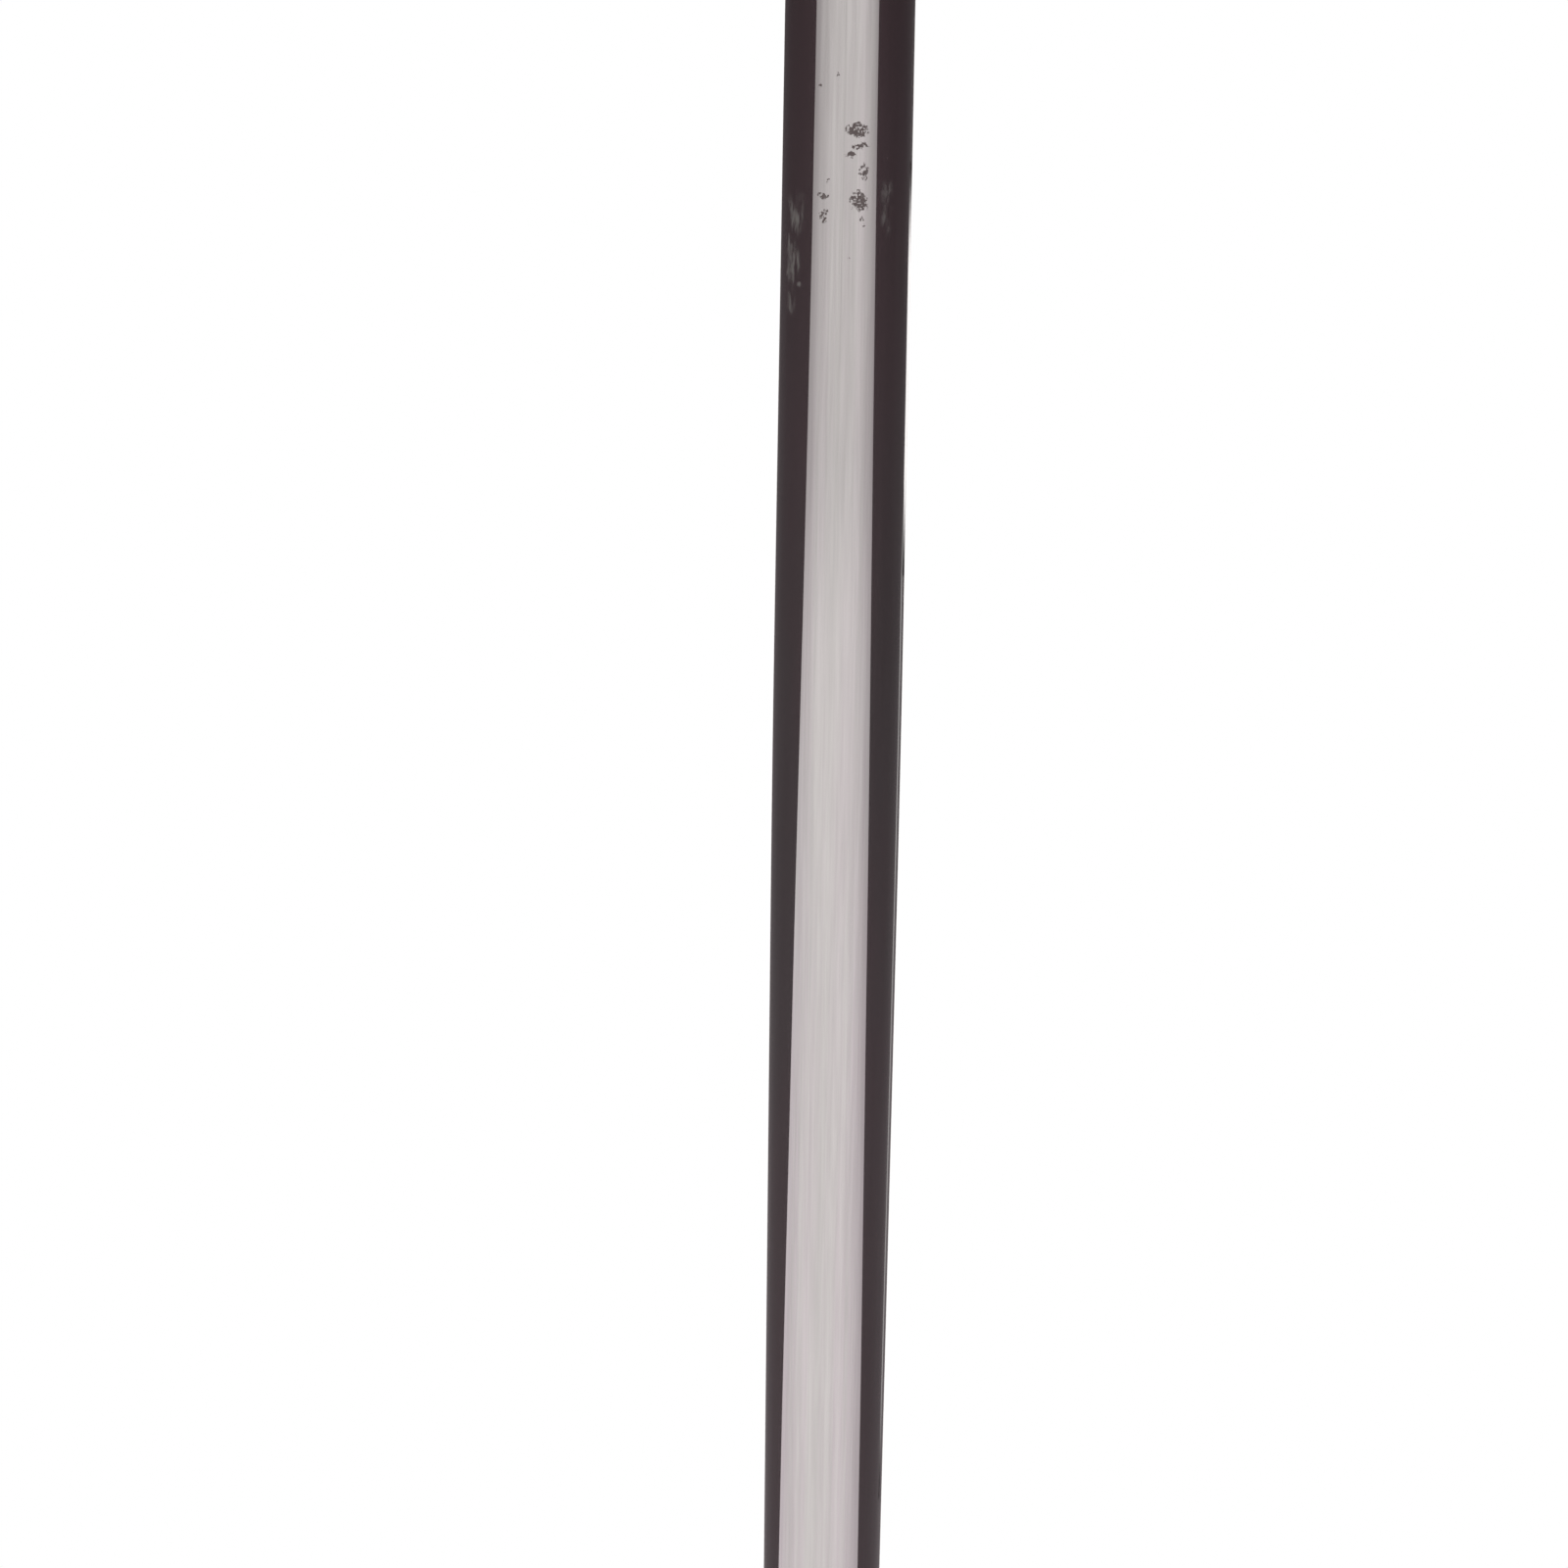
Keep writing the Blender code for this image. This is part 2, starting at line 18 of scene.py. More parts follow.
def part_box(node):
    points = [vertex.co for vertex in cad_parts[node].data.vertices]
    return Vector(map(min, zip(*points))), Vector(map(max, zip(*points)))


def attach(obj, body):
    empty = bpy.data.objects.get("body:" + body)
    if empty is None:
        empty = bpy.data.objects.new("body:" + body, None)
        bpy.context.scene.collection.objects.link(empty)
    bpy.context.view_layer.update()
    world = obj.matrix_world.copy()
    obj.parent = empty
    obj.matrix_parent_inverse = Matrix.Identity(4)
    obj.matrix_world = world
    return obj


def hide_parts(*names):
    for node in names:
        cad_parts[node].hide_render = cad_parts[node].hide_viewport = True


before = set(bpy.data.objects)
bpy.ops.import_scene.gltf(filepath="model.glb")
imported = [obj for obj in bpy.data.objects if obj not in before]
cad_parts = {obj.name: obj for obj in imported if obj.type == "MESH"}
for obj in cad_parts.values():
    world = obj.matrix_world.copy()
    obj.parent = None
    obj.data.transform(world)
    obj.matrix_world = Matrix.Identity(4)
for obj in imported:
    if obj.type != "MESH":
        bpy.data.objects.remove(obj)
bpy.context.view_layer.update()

# %% [markdown]
# ## Where each piece is
#
# Every place in this lesson comes from the frame's own solids. A turned piece needs only three
# numbers from its box: the lowest and the highest point, and the widest radius.

# %% Measure the solids
GAP = 0.0003  # the room that the frame leaves between pieces that touch


def measure(node):
    """(lowest height, highest height, outer radius) of a piece that is turned about Z."""
    low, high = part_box(node)
    return low.z, high.z, (high.y - low.y) / 2


for name in ("shaft", "collar", "ferrule", "rubber_tip", "handle_stud"):
    bottom, top, radius = measure(name)
    print(f"{name}: {bottom * 1000:.1f} to {top * 1000:.1f} mm, radius {radius * 1000:.2f} mm")

# %% [markdown]
# ## The camera
#
# The view is a close one of the middle of the shaft, which fills it from top to bottom. A long
# lens from well back keeps the two edges of the shaft almost parallel, so that the taper which
# shows is the shaft's own. The camera is turned by about a degree, because a cane that is held
# up is never quite plumb.

# %% Set up the camera
VIEW_HEIGHT = 0.2657  # how much of the shaft the view holds
VIEW_CENTRE = 0.457
VIEW_DISTANCE = 1.4
VIEW_ASIDE = -0.0088  # the camera stands a little to the left of the shaft's axis
VIEW_ROLL = math.radians(1.05)
SENSOR = 36.0


def new_object(name, data):
    """An object in the scene, at the origin."""
    obj = bpy.data.objects.new(name, data)
    bpy.context.scene.collection.objects.link(obj)
    return obj


camera_data = bpy.data.cameras.new("camera")
camera_data.sensor_width = SENSOR
camera_data.lens = SENSOR * VIEW_DISTANCE / VIEW_HEIGHT
camera = new_object("camera", camera_data)
bpy.context.scene.camera = camera
camera.matrix_world = (
    Matrix.Translation((VIEW_ASIDE, -VIEW_DISTANCE, VIEW_CENTRE))
    @ Matrix.Rotation(math.radians(90), 4, "X")
    @ Matrix.Rotation(VIEW_ROLL, 4, "Z")
)
print(f"lens {camera_data.lens:.0f} mm at {VIEW_DISTANCE} m")

# %% [markdown]
# ## Building node trees
#
# Materials and Geometry Nodes are both trees of nodes, so one helper adds a node to either and
# plugs in what it is given: a socket becomes a link, and anything else becomes a value. The
# others are for sums, which both kinds of tree need all the time.

# %% Helpers for node trees


def add(tree, kind, inputs=None, **settings):
    """A new node. inputs maps a socket's name or number to a value or to another socket."""
    node = tree.nodes.new(kind)
    for name, value in settings.items():
        setattr(node, name, value)
    for key, value in (inputs or {}).items():
        if isinstance(value, bpy.types.NodeSocket):
            tree.links.new(value, node.inputs[key])
        else:
            node.inputs[key].default_value = value
    return node


def calc(tree, operation, *values):
    """The result of one Math node."""
    node = add(tree, "ShaderNodeMath", dict(enumerate(values)), operation=operation)
    return node.outputs[0]


def plus(tree, first, second):
    return calc(tree, "ADD", first, second)


def minus(tree, first, second):
    return calc(tree, "SUBTRACT", first, second)


def times(tree, first, *others):
    for other in others:
        first = calc(tree, "MULTIPLY", first, other)
    return first


def vector_calc(tree, operation, *values):
    """The results of one Vector Math node: Vector, and Value where it is a number."""
    inputs = dict(enumerate(values))
    return add(tree, "ShaderNodeVectorMath", inputs, operation=operation).outputs


def axes(tree, vector):
    """The X, Y and Z of a vector, by name."""
    return add(tree, "ShaderNodeSeparateXYZ", {0: vector}).outputs


def ramp(tree, value, start, end, low=0.0, high=1.0):
    """value from start to end, eased into low to high, and held beyond them."""
    inputs = {0: value, 1: start, 2: end, 3: low, 4: high}
    node = add(tree, "ShaderNodeMapRange", inputs, interpolation_type="SMOOTHSTEP")
    return node.outputs[0]


def blend(tree, factor, first, second):
    """first where factor is 0, second where it is 1, for numbers."""
    node = add(tree, "ShaderNodeMix", {0: factor, 2: first, 3: second}, data_type="FLOAT")
    return node.outputs[0]


# %% [markdown]
# ## Finishes
#
# A finish is one Principled shader and a few noises that vary its colour, roughness and bump.
# All patterns are read from the piece's own coordinates in metres, so a noise of scale 1000 has
# features about a millimetre across. Stretching the coordinates stretches the pattern, which is
# how brushed metal and wood grain get their direction.

# %% Helpers for finishes


def new_finish(name, colour, roughness, metallic=0.0, **constants):
    """A material and its shader. constants are named with underscores, as coat_weight."""
    material = bpy.data.materials.new(name)
    material.use_nodes = True
    tree = material.node_tree
    shader = tree.nodes["Principled BSDF"]
    shader.inputs["Base Color"].default_value = (*colour, 1.0)
    shader.inputs["Roughness"].default_value = roughness
    shader.inputs["Metallic"].default_value = metallic
    for key, value in constants.items():
        title = key.replace("_", " ").title().replace("Ior", "IOR")
        shader.inputs[title].default_value = value
    return material, tree, shader


def piece_point(tree, stretch=(1.0, 1.0, 1.0)):
    """The piece's own coordinates, stretched."""
    point = add(tree, "ShaderNodeTexCoord").outputs["Object"]
    mapping = add(tree, "ShaderNodeMapping", {"Vector": point, "Scale": stretch})
    return mapping.outputs[0]


def noise(tree, point, scale, detail=3.0, roughness=0.5):
    inputs = {"Vector": point, "Scale": scale, "Detail": detail, "Roughness": roughness}
    return add(tree, "ShaderNodeTexNoise", inputs).outputs[0]


def tint(tree, factor, first, second):
    """first where factor is 0, second where it is 1, for colours. first may be a socket."""
    if not isinstance(first, bpy.types.NodeSocket):
        first = (*first, 1.0)
    inputs = {0: factor, 6: first, 7: (*second, 1.0)}
    return add(tree, "ShaderNodeMix", inputs, data_type="RGBA").outputs[2]


def paint(tree, shader, colour):
    tree.links.new(colour, shader.inputs["Base Color"])


def bump(tree, shader, height, distance, strength=1.0, sockets=("Normal",)):
    inputs = {"Height": height, "Distance": distance, "Strength": strength}
    node = add(tree, "ShaderNodeBump", inputs)
    for name in sockets:
        tree.links.new(node.outputs[0], shader.inputs[name])


# %% [markdown]
# ### Black lacquer
#
# The shaft is turned hardwood under many thin coats of lacquer. The colour coats are a warm
# near-black, and the clear coats over them are polished until they mirror the room. What makes
# lacquer look real is what breaks the mirror: the wood's grain, which draws in as the coats
# dry and leaves faint lengthwise lines, and the places where the cane has been knocked, where
# the gloss is gone and grey primer or dust shows. A scuff looks dark where it breaks a bright
# reflection and pale where the lacquer around it is dark, so it needs no light of its own: it
# is only a rougher and greyer spot.

# %% Mark where the lacquer is worn
# Each mark: degrees round from the front (towards +X), height, half of its width and of its
# height in millimetres, and its strength.
SCUFFS = (
    (8, 0.5671, 2.2, 1.20, 1.0),
    (11, 0.5645, 1.7, 0.75, 1.0),
    (3, 0.5630, 1.2, 0.55, 0.95),
    (14, 0.5602, 0.8, 1.5, 1.0),
    (11, 0.5554, 1.8, 2.1, 1.0),
    (14, 0.5520, 0.5, 1.1, 1.0),
    (-18, 0.5585, 0.55, 0.55, 0.95),
    (-21, 0.5562, 1.3, 0.7, 0.85),
    (-20, 0.5528, 0.8, 1.6, 0.95),
    (-27, 0.5748, 0.40, 0.40, 1.0),
    (-9, 0.5765, 0.35, 0.35, 0.95),
    (3, 0.5456, 0.4, 0.5, 0.95),
    (-21, 0.5400, 0.4, 0.5, 0.95),
)
SMEARS = (
    (-52, 0.5530, 1.9, 4.0, 1.0),
    (-60, 0.5480, 1.6, 3.0, 0.9),
    (-54, 0.5440, 1.9, 3.2, 1.0),
    (-42, 0.5405, 1.0, 0.7, 1.2),
    (-57, 0.5385, 1.6, 2.0, 0.8),
    (38, 0.5560, 1.2, 3.2, 0.65),
    (37, 0.5520, 1.0, 2.2, 0.5),
    (33, 0.4670, 0.5, 0.6, 0.6),
)
SCRATCHES = (
    (42, 0.5560, 0.14, 11.0, 0.34),
    (40, 0.5330, 0.12, 5.0, 0.22),
)
MM_TO_M = 0.001
SHAFT_SURFACE = measure("shaft")[2]


def ovals(tree, point, marks):
    """The strongest of the marks at each point: soft ovals on the shaft's surface."""
    mask = 0.0
    for degrees, height, wide, tall, strength in marks:
        angle = math.radians(degrees)
        centre = (math.sin(angle) * SHAFT_SURFACE, -math.cos(angle) * SHAFT_SURFACE, height)
        shrink = (1 / (wide * MM_TO_M), 1 / (wide * MM_TO_M), 1 / (tall * MM_TO_M))
        offset = vector_calc(tree, "SUBTRACT", point, centre)["Vector"]
        shrunk = vector_calc(tree, "MULTIPLY", offset, shrink)["Vector"]
        distance = vector_calc(tree, "LENGTH", shrunk)["Value"]
        mask = calc(tree, "MAXIMUM", mask, ramp(tree, distance, 0.3, 1.35, strength, 0.0))
    return mask


def wandering(tree, point, scale, reach):
    """The point, pushed about by a noise, which makes the edge of any shape ragged."""
    inputs = {"Vector": point, "Scale": scale, "Detail": 2.0}
    wander = add(tree, "ShaderNodeTexNoise", inputs).outputs["Color"]
    centred = vector_calc(tree, "SUBTRACT", wander, (0.5, 0.5, 0.5))["Vector"]
    push = vector_calc(tree, "MULTIPLY", centred, (reach, reach, reach))["Vector"]
    return vector_calc(tree, "ADD", point, push)["Vector"]


# %% Break the marks up
SPECK_SPACING = 130.0  # cells in a metre
SPECK_SHARE = 0.45  # the cells below this have no speck
SMEAR_SLANT = math.radians(28)


def scuff_mask(tree):
    """0 on sound lacquer and 1 in a scuff, with the fine gaps that a scrape leaves."""
    point = piece_point(tree)
    mask = ovals(tree, wandering(tree, point, 900.0, 0.0022), SCUFFS)
    fine = noise(tree, point, 2300.0, detail=4.0, roughness=0.6)
    broken = plus(tree, ramp(tree, fine, 0.40, 0.60), 0.30)
    scuffed = ramp(tree, times(tree, mask, broken), 0.22, 0.70)
    inputs = {"Vector": point, "Scale": SPECK_SPACING, "Randomness": 1.0}
    cells = add(tree, "ShaderNodeTexVoronoi", inputs).outputs
    chosen = calc(tree, "GREATER_THAN", axes(tree, cells["Color"])["X"], SPECK_SHARE)
    specks = times(tree, ramp(tree, cells["Distance"], 0.010, 0.026, 0.75, 0.0), chosen)
    return calc(tree, "MAXIMUM", scuffed, specks)


def smear_mask(tree):
    """Where a hand has left a dull film: cloudy, and drawn out along a slant."""
    point = piece_point(tree)
    mask = ovals(tree, wandering(tree, point, 260.0, 0.0040), SMEARS)
    inputs = {"Vector": point, "Rotation": (0.0, SMEAR_SLANT, 0.0), "Scale": (1.0, 1.0, 0.30)}
    slanted = add(tree, "ShaderNodeMapping", inputs).outputs[0]
    film = noise(tree, slanted, 900.0, detail=4.0, roughness=0.62)
    smears = times(tree, mask, ramp(tree, film, 0.38, 0.66))
    return calc(tree, "MAXIMUM", smears, ovals(tree, point, SCRATCHES))


# %% Make the black lacquer
LACQUER_WARM = (0.0187, 0.0080, 0.0105)
LACQUER_FADED = (0.0160, 0.0096, 0.0110)
WORN_GREY = (0.072, 0.058, 0.057)
FILM_GREY = (0.110, 0.104, 0.100)
FADED_HEIGHT = 0.455  # where hands have faded the lacquer most
SEAM_X = -0.0007  # a flow line in the lacquer, just left of the front
SEAM_WIDTH = 0.00016
GRAIN_DEPTH = 0.0000012
SCUFF_DEPTH = 8.0  # times the grain's


def lacquer_colour(tree, worn, film, height):
    patches = ramp(tree, noise(tree, piece_point(tree, (1.0, 1.0, 0.3)), 60.0), 0.35, 0.55)
    off_middle = calc(tree, "ABSOLUTE", minus(tree, height, FADED_HEIGHT))
    faded = times(tree, patches, ramp(tree, off_middle, 0.02, 0.10, 1.0, 0.0))
    dark = tint(tree, faded, LACQUER_WARM, LACQUER_FADED)
    return tint(tree, worn, tint(tree, film, dark, FILM_GREY), WORN_GREY)


def flow_line(tree, place):
    """A faint upright line in the coat, on the front of the shaft's upper half."""
    off_seam = calc(tree, "ABSOLUTE", minus(tree, place["X"], SEAM_X))
    front = calc(tree, "LESS_THAN", place["Y"], 0.0)
    upper = ramp(tree, place["Z"], 0.500, 0.540)
    return times(tree, ramp(tree, off_seam, 0.0, SEAM_WIDTH, 0.07, 0.0), front, upper)


def make_lacquer():
    material, tree, shader = new_finish(
        "black_lacquer",
        LACQUER_WARM,
        0.50,
        specular_ior_level=0.10,
        coat_weight=1.0,
        coat_ior=2.0,
        coat_roughness=0.020,
    )
    place = axes(tree, piece_point(tree))
    worn = scuff_mask(tree)
    paint(tree, shader, lacquer_colour(tree, worn, smear_mask(tree), place["Z"]))

    fine_grain = noise(tree, piece_point(tree, (1.0, 1.0, 0.022)), 3000.0)
    grain = noise(tree, piece_point(tree, (1.0, 1.0, 0.016)), 800.0)
    broad = noise(tree, piece_point(tree, (1.0, 1.0, 0.12)), 90.0, detail=2.0)
    streaks = ramp(tree, grain, 0.32, 0.68, 1.0, 0.91)
    streaks = times(tree, streaks, ramp(tree, fine_grain, 0.34, 0.66, 1.0, 0.93))
    coat = times(tree, minus(tree, streaks, flow_line(tree, place)), minus(tree, 1.0, worn))
    tree.links.new(coat, shader.inputs["Coat Weight"])
    tree.links.new(ramp(tree, broad, 0.2, 0.8, 0.40, 0.60), shader.inputs["Roughness"])

    height = minus(tree, grain, times(tree, worn, SCUFF_DEPTH))
    bump(tree, shader, height, GRAIN_DEPTH, sockets=("Normal", "Coat Normal"))
    return material


lacquer = make_lacquer()
print("lacquer:", len(SCUFFS), "scuffs,", len(SMEARS), "smears,", len(SCRATCHES), "scratches")

# %% [markdown]
# ### Bare wood
#
# Where the shaft is turned down to go into the collar and the ferrule it isn't lacquered, and
# the pale hardwood shows. It is seen only when the handle or the tip is off. End grain is rings
# about the axis, and the sides show the same rings as long lines.

# %% Make the bare wood
WOOD_PALE = (0.56, 0.39, 0.24)
WOOD_DARK = (0.38, 0.24, 0.13)
RING_SHARE = 0.55


def make_wood():
    material, tree, shader = new_finish("bare_beech", WOOD_PALE, 0.62)
    long_grain = piece_point(tree, (1.0, 1.0, 0.05))
    wander = noise(tree, long_grain, 160.0, detail=2.0)
    pores = noise(tree, long_grain, 2600.0, detail=2.0)
    inputs = {"Vector": piece_point(tree, (1.0, 1.0, 0.02)), "Scale": 110.0, "Distortion": 3.0}
    settings = {"wave_type": "RINGS", "rings_direction": "Z"}
    rings = add(tree, "ShaderNodeTexWave", inputs, **settings).outputs["Fac"]
    shade = plus(tree, times(tree, rings, RING_SHARE), times(tree, wander, 1 - RING_SHARE))
    paint(tree, shader, tint(tree, shade, WOOD_PALE, WOOD_DARK))
    bump(tree, shader, pores, 0.00003, strength=0.5)
    return material


wood = make_wood()

# %% [markdown]
# ### Metals
#
# Plated and turned metal keeps the marks of its last polish. On a turned piece those marks run
# round it, so the noise is squeezed along Z and left long in X and Y. Bright nickel is a warm
# white metal and nearly a mirror, brass is duller and yellow where it was only turned, and zinc
# plate is a cold, slightly patchy grey.

# %% Make the metals


def make_turned_metal(name, colour, stain, roughness, marks):
    """Metal with fine rings round Z. roughness is (polished, dull), marks is their depth."""
    material, tree, shader = new_finish(name, colour, roughness[0], metallic=1.0)
    rings = noise(tree, piece_point(tree, (0.03, 0.03, 1.0)), 9000.0, detail=2.0)
    patches = noise(tree, piece_point(tree), 240.0, detail=4.0, roughness=0.6)
    paint(tree, shader, tint(tree, ramp(tree, patches, 0.35, 0.75), colour, stain))
    tree.links.new(ramp(tree, patches, 0.3, 0.75, *roughness), shader.inputs["Roughness"])
    bump(tree, shader, rings, marks)
    return material


# Name, colour, colour where it is stained, roughness from polished to dull, depth of the rings.
METALS = (
    ("nickel_plate", (0.70, 0.67, 0.62), (0.60, 0.56, 0.50), (0.13, 0.24), 0.0000015),
    ("brass", (0.74, 0.55, 0.26), (0.56, 0.38, 0.17), (0.24, 0.42), 0.0000040),
    ("zinc_steel", (0.56, 0.57, 0.60), (0.46, 0.46, 0.47), (0.28, 0.46), 0.0000030),
)
nickel, brass, zinc = (make_turned_metal(*metal) for metal in METALS)

# %% [markdown]
# ### Resin, fibre and rubber
#
# The handle is cast resin in the off-white of old ivory: light goes a little way into it, and
# faint clouds of a creamier colour drift through it. The washer is vulcanised fibre, which is
# compressed paper, dull and flecked. The tip is moulded rubber. New rubber is a deep black with
# a dull sheen, and a tip that has been walked on is grey with dust near the ground.

# %% Make resin, fibre and rubber
RESIN_PALE = (0.76, 0.72, 0.645)
RESIN_CREAM = (0.63, 0.57, 0.465)
FIBRE_RED = (0.20, 0.075, 0.045)
FIBRE_DARK = (0.11, 0.040, 0.028)
RUBBER_BLACK = (0.020, 0.020, 0.021)
RUBBER_DUSTY = (0.125, 0.118, 0.108)
DUST_HEIGHT = 0.009


def make_resin():
    material, tree, shader = new_finish(
        "ivory_white_resin",
        RESIN_PALE,
        0.24,
        subsurface_weight=0.12,
        subsurface_scale=0.0015,
        subsurface_radius=(1.0, 0.7, 0.45),
        coat_weight=0.35,
        coat_roughness=0.08,
    )
    clouds = noise(tree, piece_point(tree, (0.35, 1.0, 1.0)), 70.0, detail=5.0, roughness=0.55)
    threads = noise(tree, piece_point(tree, (0.10, 1.0, 1.0)), 420.0)
    drift = plus(tree, times(tree, clouds, 0.7), times(tree, threads, 0.3))
    paint(tree, shader, tint(tree, ramp(tree, drift, 0.36, 0.66), RESIN_PALE, RESIN_CREAM))
    hand_wear = noise(tree, piece_point(tree), 55.0)
    tree.links.new(ramp(tree, hand_wear, 0.3, 0.7, 0.17, 0.33), shader.inputs["Roughness"])
    fine = noise(tree, piece_point(tree), 1600.0, detail=2.0)
    bump(tree, shader, fine, 0.000004, strength=0.6)
    return material


def make_fibre():
    material, tree, shader = new_finish("red_brown_fibre", FIBRE_RED, 0.72)
    flecks = noise(tree, piece_point(tree, (1.0, 1.0, 3.0)), 1300.0, detail=4.0, roughness=0.65)
    paint(tree, shader, tint(tree, ramp(tree, flecks, 0.3, 0.7), FIBRE_RED, FIBRE_DARK))
    bump(tree, shader, flecks, 0.00004, strength=0.7)
    return material


def make_rubber():
    material, tree, shader = new_finish("black_rubber", RUBBER_BLACK, 0.6, specular_ior_level=0.35)
    point = piece_point(tree)
    bloom = noise(tree, point, 130.0, detail=5.0, roughness=0.6)
    near_ground = ramp(tree, axes(tree, point)["Z"], 0.0, DUST_HEIGHT, 0.85, 0.06)
    dust = times(tree, near_ground, ramp(tree, bloom, 0.35, 0.70))
    paint(tree, shader, tint(tree, dust, RUBBER_BLACK, RUBBER_DUSTY))
    tree.links.new(ramp(tree, bloom, 0.2, 0.8, 0.50, 0.68), shader.inputs["Roughness"])
    pebble = noise(tree, point, 2200.0, detail=2.0)
    bump(tree, shader, pebble, 0.00003, strength=0.5)
    return material


resin = make_resin()
fibre = make_fibre()
rubber = make_rubber()
print("finishes:", ", ".join(material.name for material in bpy.data.materials))

# %% [markdown]
# ## A lathe in Geometry Nodes
#
# The object starts as a bare row of points, its profile: x is the radius and z the height. The
# tree lays out a flat grid with one row for each profile point and one column for each side,
# and then moves every grid point to where the lathe would carry it. Point number n of the grid
# is in row n // columns and column n % columns, so the two whole-number sums give its profile
# point and its angle. The last column lands on the first, and merging by distance closes the
# seam and any pole on the axis.
#
# A Screw modifier would turn a plain profile too. The grid is used because a rule can change
# the radius of each point before it is placed, and that is all that a thread, a knurl or a
# milled edge is.

# %% Build the lathe
MERGE_DISTANCE = 0.000002


def start_tree(name, inputs):
    """A tree with a geometry input, the named inputs and a geometry output."""
    tree = bpy.data.node_groups.new(name, "GeometryNodeTree")
    tree.interface.new_socket("Geometry", in_out="INPUT", socket_type="NodeSocketGeometry")
    for title, kind, value in inputs:
        socket = tree.interface.new_socket(title, in_out="INPUT", socket_type="NodeSocket" + kind)
        if value is not None:
            socket.default_value = value
    tree.interface.new_socket("Geometry", in_out="OUTPUT", socket_type="NodeSocketGeometry")
    return tree, add(tree, "NodeGroupInput").outputs


def end_tree(tree, geometry, material):
    """Ends the tree as an export needs: real geometry, with its material."""
    real = add(tree, "GeometryNodeRealizeInstances", {"Geometry": geometry}).outputs[0]
    painted = add(tree, "GeometryNodeSetMaterial", {"Geometry": real, "Material": material})
    add(tree, "NodeGroupOutput", {0: painted.outputs[0]})
    return tree


def on_circle(tree, radius, angle, height):
    """The place at an angle round the axis."""
    inputs = {
        "X": times(tree, radius, calc(tree, "COSINE", angle)),
        "Y": times(tree, radius, calc(tree, "SINE", angle)),
        "Z": height,
    }
    return add(tree, "ShaderNodeCombineXYZ", inputs).outputs[0]


def lathe(name, extra_inputs=(), rule=None):
    """A lathe tree. rule(tree, given, radius, height, angle) returns the radius to turn to."""
    inputs = [("Sides", "Int", 128), *extra_inputs, ("Material", "Material", None)]
    tree, given = start_tree(name, inputs)
    profile = given["Geometry"]
    rows = add(tree, "GeometryNodeAttributeDomainSize", {0: profile}).outputs["Point Count"]
    columns = plus(tree, given["Sides"], 1)
    grid = add(tree, "GeometryNodeMeshGrid", {"Vertices X": rows, "Vertices Y": columns})
    number = add(tree, "GeometryNodeInputIndex").outputs[0]
    row, column = (
        add(tree, "FunctionNodeIntegerMath", {0: number, 1: columns}, operation=whole).outputs[0]
        for whole in ("DIVIDE_FLOOR", "MODULO")
    )
    position = add(tree, "GeometryNodeInputPosition").outputs[0]
    inputs = {"Geometry": profile, "Value": position, "Index": row}
    place = add(tree, "GeometryNodeSampleIndex", inputs, data_type="FLOAT_VECTOR").outputs[0]
    parts = axes(tree, place)
    angle = times(tree, calc(tree, "DIVIDE", column, given["Sides"]), math.tau)
    radius = parts["X"]
    if rule:
        radius = rule(tree, given, radius, parts["Z"], angle)
    turned = on_circle(tree, radius, angle, parts["Z"])
    inputs = {"Geometry": grid.outputs[0], "Position": turned}
    placed = add(tree, "GeometryNodeSetPosition", inputs).outputs[0]
    inputs = {"Geometry": placed, "Distance": MERGE_DISTANCE}
    closed = add(tree, "GeometryNodeMergeByDistance", inputs).outputs[0]
    return end_tree(tree, closed, given["Material"])


# %% [markdown]
# A tree does nothing until a modifier runs it on an object. A modifier's inputs are set by the
# identifier of each socket, because two sockets may share a name. Once the shape is right it is
# turned into a plain mesh and the modifier is dropped, so that what is left is simple.

# %% Run a tree and keep its mesh
SMOOTH_ANGLE = math.radians(32)


def run_tree(obj, tree, values):
    """Adds the tree to obj as a modifier, with the values given by the sockets' names."""
    modifier = obj.modifiers.new(tree.name, "NODES")
    modifier.node_group = tree
    for item in tree.interface.items_tree:
        if item.in_out == "INPUT" and item.name in values:
            modifier[item.identifier] = values[item.name]


def keep_mesh(obj):
    """Replaces obj's mesh by its finished one, and drops the modifiers."""
    ready = obj.evaluated_get(bpy.context.evaluated_depsgraph_get())
    mesh = bpy.data.meshes.new_from_object(ready)
    obj.modifiers.clear()
    obj.data = mesh
    work = bmesh.new()
    work.from_mesh(mesh)
    bmesh.ops.recalc_face_normals(work, faces=work.faces)
    work.to_mesh(mesh)
    work.free()
    mesh.name = obj.name
    mesh.shade_smooth()
    mesh.set_sharp_from_angle(angle=SMOOTH_ANGLE)


def new_profile(name, points):
    """An object that is only a row of points: the lathe's profile."""
    mesh = bpy.data.meshes.new(name)
    mesh.from_pydata([(radius, 0.0, height) for radius, height in points], [], [])
    return new_object(name, mesh)


def join_frame(obj, body, nodes):
    """The piece rides on its body and stands for its plain solids."""
    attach(obj, body)
    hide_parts(*nodes)
    print(f"{obj.name}: {len(obj.data.polygons)} faces, rides on {body}")


def turn(name, profile, tree, material, values=None):
    """A turned object, finished but not yet riding on anything."""
    obj = new_profile(name, profile)
    run_tree(obj, tree, {"Material": material, **(values or {})})
    keep_mesh(obj)
    return obj


# %% [markdown]
# ### Drawing profiles
#
# A profile is read from the inside of the top, down the outer side and back. Round edges are
# arcs, and a side that a rule will cut into needs many rows, so that the cut has points to move.

# %% Helpers for profiles


